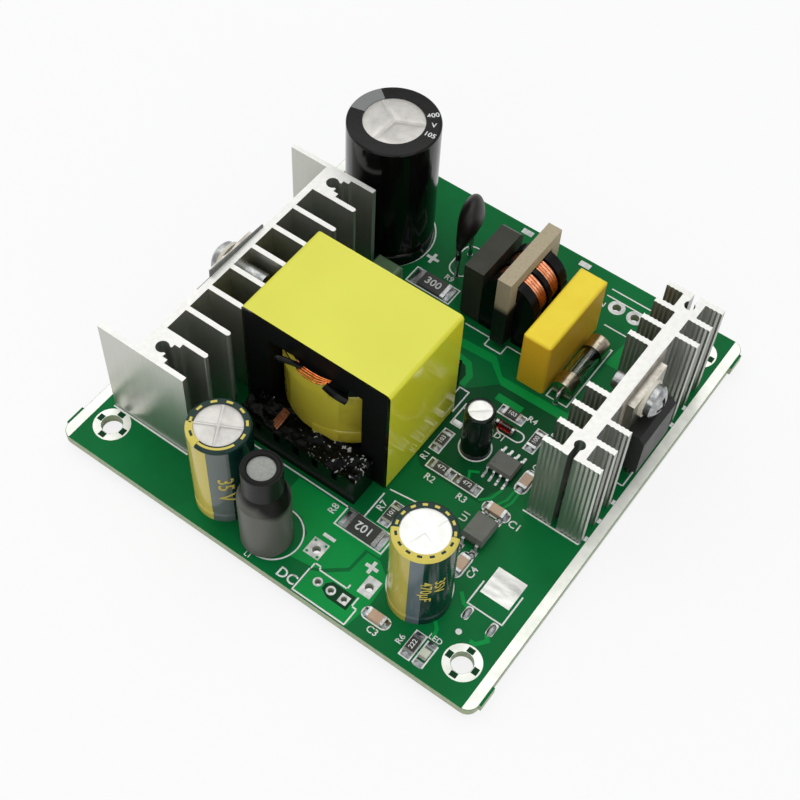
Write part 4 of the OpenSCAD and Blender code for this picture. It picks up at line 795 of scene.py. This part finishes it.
# lines from place to place, with their width where they are broader or finer than the rest
for ax, ay, bx, by, *width in (
    (15.45, -11.1, 15.45, -9.2), (29.65, -27.2, 36.2, -27.2), (29.75, -27.1, 29.75, -22.6),
    (36.1, -27.1, 36.1, -21.4),
    (7.0, -41.4, 17.1, -41.4), (7.1, -41.3, 7.1, -37.0), (7.2, -36.9, 7.2, -35.9), (7.3, -35.8, 8.3, -35.8),
    (8.4, -35.9, 8.4, -36.3), (8.5, -36.35, 13.7, -36.35), (13.8, -36.25, 13.8, -35.5),
    (16.1, -36.5, 16.1, -38.2), (16.2, -38.3, 17.0, -38.3), (17.0, -38.4, 17.0, -41.3),
    (-17.6, -24.8, 8.2, -24.8, 0.27), (8.3, -24.69, 8.3, -19.3, 0.27), (8.6, -18.2, 13.3, -17.6, 0.25),
    (38.0, 4.9, 38.0, 16.2), (36.6, 4.9, 37.9, 4.9), (-37.0, -32.75, -21.2, -32.75, 0.3),
    (27.6, -8.5, 38.0, -8.5, 0.27), (37.95, -8.4, 37.95, -7.0, 0.27), (15.6, 36.9, 24.0, 36.9),
    (15.6, 38.6, 24.0, 38.6), (18.6, 31.0, 23.0, 31.0), (5.1, -30.95, 7.35, -30.95, 0.6),
    (13.5, -31.2, 15.8, -31.2, 0.6), (14.65, -30.89, 14.65, -30.05, 0.6), (14.65, -31.51, 14.65, -32.35, 0.6),
    (-14.8, 24.9, -12.3, 24.9, 0.6), (-13.55, 25.21, -13.55, 26.1, 0.6), (-13.55, 24.59, -13.55, 23.7, 0.6),
    (-0.7, 16.5, 4.4, 16.5), (4.45, 16.41, 4.45, 14.7), (4.54, 14.7, 7.8, 14.7),
    (7.8, 14.8, 7.8, 16.8), (7.9, 16.8, 12.0, 16.8),
):
    stroke(ax, ay, bx, by, *(width or [LINE]), INK)
for y in (-6.9, -2.9, 1.4, 20.0, 24.2):
    stroke(38.4, y - 0.45, 38.4, y + 0.45, 0.5, INK)
ring(31.46, -31.96, 0.5, 0.5, INK, 24)
close_layer(legend, PRINT, ink)

close_layer(words("board_designators", [
    ("R1", 9.3, -9.5, INK, 1.2, 90), ("R2", 12.4, -12.7, INK, 1.3, 0), ("R3", 18.6, -12.7, INK, 1.3, 0),
    ("R4", 19.6, 6.6, INK, 1.2, 0), ("R5", 24.2, 5.8, INK, 1.2, 90), ("R6", 25.2, -38.2, INK, 1.1, 90),
    ("R7", 9.4, -21.4, INK, 1.3, 90), ("R8", 3.6, -26.4, INK, 1.3, 90), ("R9", -8.6, 22.9, INK, 1.2, 0),
    ("D1", 17.0, 0.6, INK, 1.2, 0), ("U1", 21.0, -15.0, INK, 1.3, 90), ("C1", 28.2, -11.8, INK, 1.4, 0),
    ("C2", 25.4, -0.7, INK, 1.2, 0), ("C3", 21.0, -39.7, INK, 1.2, 0), ("C4", 27.5, -22.6, INK, 1.3, 90),
    ("LED", 29.4, -35.1, INK, 1.0, 0), ("DC", 5.1, -40.2, INK, 1.8, 0), ("L1", -2.0, -40.95, INK, 0.9, 0),
    ("F1", 24.0, 14.0, INK, 1.2, 90), ("N", 15.9, 34.6, INK, 1.2, 0), ("L", 24.6, 34.6, INK, 1.2, 0),
]), PRINT, ink)

CHIP_TOP, BIG_CHIP_TOP = TOP + 0.55, TOP + 0.6
CODES = ["103", "472", "472", "103", "100", "222", "101"]
close_layer(words("chip_codes", [
    (code, x, y, CHIP_TOP, 0.8, turn) for code, (x, y, turn) in zip(CODES, CHIPS)
] + [("102", 9.8, -26.65, BIG_CHIP_TOP, 1.6, 180), ("300", -10.0, 19.9, BIG_CHIP_TOP, 1.6, 0)]), 0.01, ink)

# Underside: copper under the mask, and runs of solder along the tracks that carry most current
below = open_layer("underside_copper_areas")
for points in (
    [(-30.5, -40.4), (8.0, -40.4), (8.0, -36.9), (-4.0, -36.9), (-6.4, -34.8), (-30.5, -34.8)],
    [(-22.5, -33.9), (-6.9, -33.9), (-4.4, -36.0), (3.2, -36.0), (3.2, -31.0), (-1.0, -27.6), (-22.5, -27.6)],
    [(-35.2, -26.6), (-6.3, -26.6), (-6.3, -19.6), (-22.0, -19.6), (-28.6, -13.0), (-28.6, -9.7),
     (-35.2, -9.7)],
    [(-5.4, -26.6), (16.4, -26.6), (16.4, -33.5), (23.0, -35.4), (23.0, -28.2), (19.2, -24.4), (6.4, -19.6),
     (-5.4, -19.6)],
    [(-34.0, 26.6), (-34.0, 32.0), (1.0, 32.0), (1.0, 27.4), (-6.2, 27.4), (-6.2, 26.6)],
    [(-34.0, 25.4), (-34.0, 16.4), (-2.9, 16.4), (-2.9, 20.4), (-10.0, 20.4), (-10.0, 25.4)],
    [(-1.9, 1.2), (7.2, 1.2), (11.0, 6.0), (26.8, 6.0), (30.0, 9.4), (38.2, 9.4), (38.2, 11.7), (28.4, 11.7),
     (25.6, 8.6), (9.4, 8.6), (5.6, 4.8), (-1.9, 4.8)],
    [(9.2, 25.6), (22.3, 25.6), (22.3, 30.0), (9.2, 30.0)],
    [(14.0, 11.9), (14.0, 14.9), (2.9, 17.4), (0.5, 17.4), (0.5, 20.6), (3.4, 20.6), (9.0, 20.6),
     (12.4, 20.6), (12.4, 17.4), (17.2, 14.9), (17.2, 11.9)],
):
    area(points, 0)
for run, width in (
    ([(25.6, -30.5), (29.5, -26.5), (29.5, -12.0), (33.1, -8.4), (33.1, -5.7)], 1.6),
    ([(13.9, -3.4), (13.9, -1.0), (8.8, 4.1), (3.7, 2.9)], 0.8),
    ([(15.9, -3.4), (22.0, -3.4), (24.5, -1.0)], 0.8),
    ([(37.1, 13.1), (33.0, 17.2), (33.0, 26.8)], 1.2), ([(20.6, 12.0), (22.1, 13.5), (22.1, 35.4)], 1.6),
    ([(15.3, 28.4), (18.4, 31.5), (18.4, 35.4)], 1.6),
    ([(-15.4, 2.9), (-15.4, 8.0), (-17.6, 10.2), (-17.6, 13.8)], 0.8),
    ([(-11.6, 2.9), (-11.6, 8.4), (-14.1, 10.9), (-14.1, 13.8)], 0.8), ([(1.8, 27.0), (-0.9, 25.5)], 1.4),
    ([(10.6, 18.8), (10.6, 23.0), (-0.9, 22.2)], 1.2), ([(-26.6, 12.7), (-32.4, 6.9), (-32.4, -5.8)], 1.6),
):
    track(run, width, -FILM)
close_layer(below, COPPER, mask_on_copper, under=True)

runs = open_layer("underside_solder_runs")
foot, depth, taper = -0.02, 0.25, 0.8
for x0, y0, x1, y1 in (
    (-28.5, -39.5, -14.0, -37.9), (-9.4, -39.6, -3.4, -38.2), (-20.8, -31.2, -13.4, -29.4),
    (-9.6, -32.2, -3.6, -30.6), (-33.8, -25.0, -18.0, -23.4), (-33.6, -20.6, -31.8, -13.0),
    (-2.6, -25.0, 12.0, -23.4), (-32.0, 28.6, -25.2, 30.2), (-21.4, 28.6, -11.0, 30.2),
    (-32.0, 18.0, -25.4, 19.6), (-21.2, 18.0, -12.0, 19.6), (12.6, 6.6, 25.0, 7.9),
):
    plate(x0, y0, x1, y1, foot, 0.7)
    at = metres((x0 + x1) / 2, (y0 + y1) / 2, foot - depth)
    draw_up(-depth, 1 - taper / (x1 - x0), 1 - taper / (y1 - y0), at)
face_out()
settle(runs, solder, 50)

# Solder drawn up the ends of the chips: a low wedge, steep against the chip and sloping to the pad
fillets = open_layer("chip_solder_fillets")
base, lap = TOP + TIN, 0.12
for chips, wide, reach, rise in ((chip_ends, 1.45, 0.75, 0.42), (big_ends, 2.9, 0.85, 0.45)):
    x, y, turn = chips[0]
    ux, uy = cos(radians(turn)), sin(radians(turn))
    x, y = x - lap * ux, y - lap * uy
    stroke(x, y, x + reach * ux, y + reach * uy, wide, base)
    draw_up(rise, 0.25, 0.25, metres(x, y, base + rise))
    bpy.ops.mesh.select_linked()
    repeat(chips, base)
face_out()
settle(fillets, solder, 60)

# Solder lumps left on bare pads: a low dome with a flat foot
lumps = open_layer("pad_solder_lumps")
for x, y, wide, long, rise in (
    (30.75, -28.7, 0.55, 1.1, 0.4), (35.3, -28.9, 0.55, 1.2, 0.4), (23.25, -20.25, 0.6, 0.65, 0.55),
    (25.75, -20.25, 0.6, 0.65, 0.55), (23.25, -12.45, 0.55, 0.6, 0.5), (25.75, -12.45, 0.55, 0.6, 0.5),
):
    at = metres(x, y, TOP + 0.04)
    bpy.ops.mesh.primitive_uv_sphere_add(segments=20, ring_count=12, radius=MM, location=at)
    bpy.ops.transform.resize(value=(wide, long, rise), center_override=at)
    bpy.ops.mesh.bisect(plane_co=at, plane_no=(0, 0, 1), clear_inner=True, use_fill=True)
settle(lumps, solder, 60)


# Can ends: a score divides the pressed end into raised panels

# the score's width and the place of a panel's middle, as shares of the radius, and the steps of half its arc
SCORE, PANEL, ARC_STEPS = 0.04, 0.55, 12


def pressed_end(name, can, radius, first, count, rise, coat):
    x, y, z = middle(can)
    score, half = SCORE * radius, 180 / count
    nose = score / sin(radians(half))
    edge = half - score / radius * 180 / pi
    aim = radians(first + half)
    arc = [radians(first + half + edge * k / ARC_STEPS) for k in range(-ARC_STEPS, ARC_STEPS + 1)]
    corners = [(nose, aim)] + [(radius, turn) for turn in arc]
    inner = metres(x + PANEL * radius * cos(aim), y + PANEL * radius * sin(aim), z)
    piece = open_layer(name)
    area([(x + reach * cos(turn), y + reach * sin(turn)) for reach, turn in corners], z)
    # each step up is drawn in a little, so that the panel has a soft edge
    for share, lift in ((1.0, 0.15), (0.9, 0.55), (0.7, 0.3)):
        draw_up(lift * rise, share, share, inner)
    bpy.ops.mesh.select_linked()
    repeat([(x, y, 360 / count * turn) for turn in range(count)], z)
    face_out()
    settle(piece, coat, 35)


pressed_end("bulk_capacitor_end", "bulk_capacitor_can", 5.28, 27, 3, 0.14, can_top)
pressed_end("output_capacitor_a_end", "output_capacitor_a_can", 3.78, 28, 4, 0.14, can_top)
pressed_end("output_capacitor_b_end", "output_capacitor_b_can", 3.78, 70, 4, 0.1, can_end_painted_light)
pressed_end("bias_capacitor_end", "bias_capacitor_can", 1.98, 40, 2, 0.06, can_end_painted_light)


# Print on the sleeves, wrapped round each can and reading downwards

def wrapped_print(name, can, lines, coat):
    """Lines of (text, degrees round the can, height above the board, letter height)."""
    low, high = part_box(can)
    axis, radius = (low + high) / 2, (high.x - low.x) / 2 + LIFT * MM
    piece = words(name, [(text, -z, radians(angle) * radius / MM, 0, height, 0)
                         for text, angle, z, height in lines])
    pick(piece)
    levels, narrow = [vertex.co.y for vertex in piece.data.vertices], 0.3 * MM
    mode("EDIT")
    # narrow strips along the reading direction let the print follow the curve
    for step in range(1, int((max(levels) - min(levels)) / narrow) + 1):
        bpy.ops.mesh.select_all(action="SELECT")
        bpy.ops.mesh.bisect(plane_co=(0, min(levels) + step * narrow, 0), plane_no=(0, 1, 0))
    mode("OBJECT")
    for vertex in piece.data.vertices:
        turn = vertex.co.y / radius
        vertex.co = (axis.x + radius * cos(turn), axis.y + radius * sin(turn), TOP * MM - vertex.co.x)
    close_layer(piece, 0.012, coat)


gold = make_ink("gold_sleeve_ink", "#c9b852", "#b3a145")
wrapped_print("output_capacitor_a_print", "output_capacitor_a_sleeve", [("35 V", -45, 9.4, 2.6)], gold)
wrapped_print("output_capacitor_b_print", "output_capacitor_b_sleeve",
              [("470\u00b5F", -50, 10.6, 1.8), ("35V", -26, 11.6, 1.8)], gold)

# Rating on the bulk capacitor's rim, set round its end
x, y, z = middle("bulk_capacitor_sleeve")
radius, sunk, thick, height = 6.6, 0.004, 0.005, 1.05
close_layer(words("bulk_capacitor_print", [
    (text, x + radius * cos(radians(turn)), y + radius * sin(radians(turn)), z - sunk, height, turn)
    for text, turn in (("105", 8), ("V", 28), ("400", 48))
]), thick, ink)


# Transformer: varnish over the pin rails, lead-outs in black sleeving, and bare strands of the winding

CORE_X, CORE_Y = middle("core_upper")[:2]
WINDING_LOW, WINDING_HIGH = (corner.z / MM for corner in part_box("transformer_winding"))
FLANGE = middle("transformer_bobbin")[2]

wires("winding_strands", FLANGE, [
    [(-9.0, -18.9 - 0.2 * i, 0), (-7.9, -19.5 - 0.32 * i, 0.3 - 0.06 * i * i),
     (-5.8, -19.65 - 0.32 * i, 0.38 - 0.06 * i * i), (-3.8, -19.5 - 0.32 * i, 0.3 - 0.06 * i * i),
     (-2.6, -18.9 - 0.2 * i, 0)] for i in range(4)
], 0.14, fresh_copper)
wires("lead_out_strands", TOP, [
    [(-10.6 + 0.34 * i, -20.5 - 0.1 * i, 8.6), (-10.9 + 0.38 * i, -21.6, 7.5),
     (-11.4 + 0.42 * i, -22.9 - 0.15 * i, 6.5)] for i in range(4)
], 0.18, copper_wire)
wires("lead_out_sleeves", TOP, [
    [(-7.6, -19.5, 21.3), (-9.0, -20.6, 22.6), (-10.7, -21.0, 22.7), (-11.6, -20.9, 21.8),
     (-11.0, -20.3, 20.9), (-9.8, -19.2, 20.5)],
], 0.45, phenolic)
wires("lead_out_tape", TOP, [
    [(-2.9, -20.1, 21.2), (-1.6, -20.1, 20.6), (-0.4, -19.8, 19.9), (0.5, -19.3, 19.2)],
], 0.7, phenolic)


def choose(piece, wanted):
    """Opens a piece in edit mode with the points selected whose place is wanted, and no others."""
    mode("EDIT")
    bpy.ops.mesh.select_all(action="DESELECT")
    mode("OBJECT")
    for vertex in piece.data.vertices:
        vertex.select = wanted(vertex.co)
    mode("EDIT")


def winding_band(name, first, last, z0, z1, radius, fold):
    """A turn of tape over part of the winding: a circle cut to an arc, drawn up, folded in and thickened."""
    begin()
    at, film = Vector(metres(CORE_X, CORE_Y, z0)), 0.06
    bpy.ops.mesh.primitive_circle_add(vertices=180, radius=radius * MM, location=at)
    piece = named(name)
    bpy.ops.object.transform_apply()
    choose(piece, lambda co: not first <= atan2(co.y - at.y, co.x - at.x) * 180 / pi <= last)
    bpy.ops.mesh.delete(type="VERT")
    bpy.ops.mesh.select_all(action="SELECT")
    for rise, inward in ((z1 - z0 - 0.3, 0), (0.2, film), (0.1, fold)):
        share = (radius - inward) / radius
        draw_up(rise, share, share, at)
    face_out()
    mode("OBJECT")
    modify(piece, "SOLIDIFY", thickness=film * MM, offset=0)
    settle(piece, winding_tape, 40)


winding_band("winding_margin_tape", -128, -72, WINDING_HIGH - 1.3, FLANGE + 0.05, 11.1, 0.8)
winding_band("winding_end_tape", -88, -20, WINDING_LOW + 0.02, WINDING_LOW + 3.0, 10.9, 0.1)


def varnish_skin(name, y0, y1):
    """Dipped varnish over a pin rail: a sheet whose upper face is pushed into lumps."""
    begin()
    at, rail, skin = Vector(metres(CORE_X, (y0 + y1) / 2, TOP + 6.0)), 23.2, 0.35
    bpy.ops.mesh.primitive_grid_add(x_subdivisions=140, y_subdivisions=34, size=MM, location=at)
    piece = named(name)
    mode("EDIT")
    bpy.ops.transform.resize(value=(rail, y1 - y0, 1), center_override=at)
    bpy.ops.mesh.select_all(action="SELECT")
    bpy.ops.mesh.extrude_region_move(TRANSFORM_OT_translate={"value": (0, 0, skin * MM)})
    mode("OBJECT")
    bpy.ops.object.transform_apply()
    top = piece.vertex_groups.new(name="upper")
    top.add([v.index for v in piece.data.vertices if v.co.z > at.z + skin / 2 * MM], 1.0, "REPLACE")
    for size, push in ((2.4, 1.2), (1.1, 0.5)):
        lumps = bpy.data.textures.new(name + "_lumps", "CLOUDS")
        lumps.noise_scale = size * MM
        lumps.noise_depth = 0
        modify(piece, "DISPLACE", texture=lumps, texture_coords="LOCAL", vertex_group="upper",
               direction="Z", mid_level=0.35, strength=push * MM)
        bpy.data.textures.remove(lumps)
    settle(piece, varnish, 80)


varnish_skin("transformer_front_varnish", -24.05, -18.95)
varnish_skin("transformer_back_varnish", 0.35, 5.45)


# Thermistor: a dipped disc whose coating runs down on to its legs

begin()
BALL, FLATTEN = 4.65, (0.46, 0.94, 0.98)
bpy.ops.mesh.primitive_uv_sphere_add(segments=48, ring_count=40, radius=BALL * MM)
drop = named("thermistor_drop")
mode("EDIT")
bpy.ops.mesh.select_mode(type="VERT")
bpy.ops.transform.resize(value=FLATTEN, center_override=(0, 0, 0))
# the lower half is drawn out, narrowed and led towards one leg, a little more at each level
lead, NARROW = Vector((-0.08, -0.22, 0)), (0.955, 0.945, 1.035)
LEVELS, HIGHEST, APART = 11, 0.6, 0.46
for level in range(1, LEVELS + 1):
    cut = HIGHEST - APART * level
    choose(drop, lambda co: co.z < cut * MM)
    at = (lead * (level - 1) + Vector((0, 0, cut))) * MM
    bpy.ops.transform.resize(value=NARROW, center_override=at)
    bpy.ops.transform.translate(value=lead * MM)
mode("OBJECT")
drop.rotation_euler = (0, radians(1), radians(20))
drop.location = metres(-8.05, 27.4, TOP + 12.1)
bpy.ops.object.transform_apply()
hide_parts("thermistor_disc")
settle(drop, dipped_black, 80)
wires("thermistor_coated_legs", TOP, [
    [(-8.3, 24.9, 8.0), (-8.1, 24.4, 6.8), (-7.98, 24.25, 5.6), (-7.96, 24.23, 4.6)],
    [(-8.1, 28.6, 9.6), (-8.6, 29.3, 8.4), (-8.82, 29.7, 7.2), (-8.84, 29.77, 6.2)],
], 0.5, dipped_black)

# Inductor: the rolled lip of its shrink tube, a ring pressed down on the core
begin()
x, y, z = middle("inductor_sleeve")
sunk, pressed = 0.2, 0.8
at = metres(x, y, z - sunk)
bpy.ops.mesh.primitive_torus_add(major_segments=64, minor_segments=24, location=at,
                                 major_radius=2.6 * MM, minor_radius=0.45 * MM)
lip = named("inductor_sleeve_lip")
mode("EDIT")
bpy.ops.mesh.select_all(action="SELECT")
bpy.ops.transform.resize(value=(1, 1, pressed), center_override=at)
mode("OBJECT")
bpy.ops.object.transform_apply()
settle(lip, shrink, 60)


# Floor, light and camera

begin()
FLOOR_GAP = 0.02 * MM
bpy.ops.mesh.primitive_plane_add(size=4.0, location=(0, 0, cad_box[0][2] - FLOOR_GAP))
floor = named("studio_floor")
bpy.ops.object.transform_apply()
# White seamless paper: matt, and seen as plain white away from the part's own shadow.
paper, node, mm = finish("white_seamless_paper", "#f4f4f3", 0.9)
fibre = node("TexNoise", {"Vector": mm, "Scale": 0.6, "Detail": 3.0})
dress(paper, relief=(fibre, 0.02, 0.2))
tree = paper.node_tree
rays = node("LightPath").node.outputs
seen = node("Math", {0: rays["Is Camera Ray"], 1: rays["Is Glossy Ray"]}, operation="MAXIMUM")
seen = node("Math", {0: seen, 1: rays["Is Transmission Ray"]}, operation="MAXIMUM")
share = node("Math", {0: seen, 1: 0.8}, operation="MULTIPLY")
glow = node("Emission", {"Color": (1, 1, 1, 1), "Strength": 1.0})
shown = node("MixShader", {"Fac": share, 1: tree.nodes["Principled BSDF"].outputs[0], 2: glow})
tree.links.new(shown, tree.nodes["Material Output"].inputs["Surface"])
floor.data.materials.append(paper)

world = bpy.data.worlds.new("studio")
scene.world = world
world.use_nodes = True
tree = world.node_tree
node = partial(add, tree)
rays = node("LightPath").node.outputs
seen = node("Math", {0: rays["Is Camera Ray"], 1: rays["Is Transmission Ray"]}, operation="MAXIMUM")
white = node("Background", {"Color": (1, 1, 1, 1), "Strength": 1.0})
room = node("Background", {"Color": (0.95, 0.97, 1.0, 1), "Strength": 0.45})
# what bright metal mirrors is a paler wall than the light that the room gives
wall = node("Background", {"Color": (1.0, 0.99, 0.97, 1), "Strength": 0.7})
lit = node("MixShader", {"Fac": rays["Is Glossy Ray"], 1: room, 2: wall})
shown = node("MixShader", {"Fac": seen, 1: lit, 2: white})
tree.links.new(shown, tree.nodes["World Output"].inputs["Surface"])


AIM = Vector((0, 0, 0.01))


def softbox(name, at, size, power):
    """A soft rectangular lamp that is turned towards the part."""
    begin()
    bpy.ops.object.light_add(type="AREA", location=at)
    lamp = named(name)
    lamp.data.shape = "RECTANGLE"
    lamp.data.size, lamp.data.size_y = size
    lamp.data.energy = power
    lamp.rotation_euler = (AIM - Vector(at)).to_track_quat("-Z", "Y").to_euler()


softbox("overhead_softbox", (-0.05, 0.08, 0.42), (0.55, 0.55), 0.95)
softbox("window_softbox", (-0.42, -0.12, 0.26), (0.3, 0.3), 0.3)
softbox("front_softbox", (0.1, -0.46, 0.24), (0.4, 0.3), 0.5)
softbox("side_softbox", (0.44, -0.16, 0.22), (0.3, 0.3), 0.35)

# The camera stands where the board's edges and corners in the photograph put it
camera_data = bpy.data.cameras.new("camera")
camera_data.lens = 64.94
camera_data.sensor_width = 36.0
camera_data.clip_start = 0.01
camera = bpy.data.objects.new("camera", camera_data)
camera.location = (0.07325, -0.11639, 0.2)
camera.rotation_euler = (radians(34.156), radians(-2.036), radians(36.029))
scene.collection.objects.link(camera)
scene.camera = camera

scene.view_settings.view_transform = "Standard"

begin()
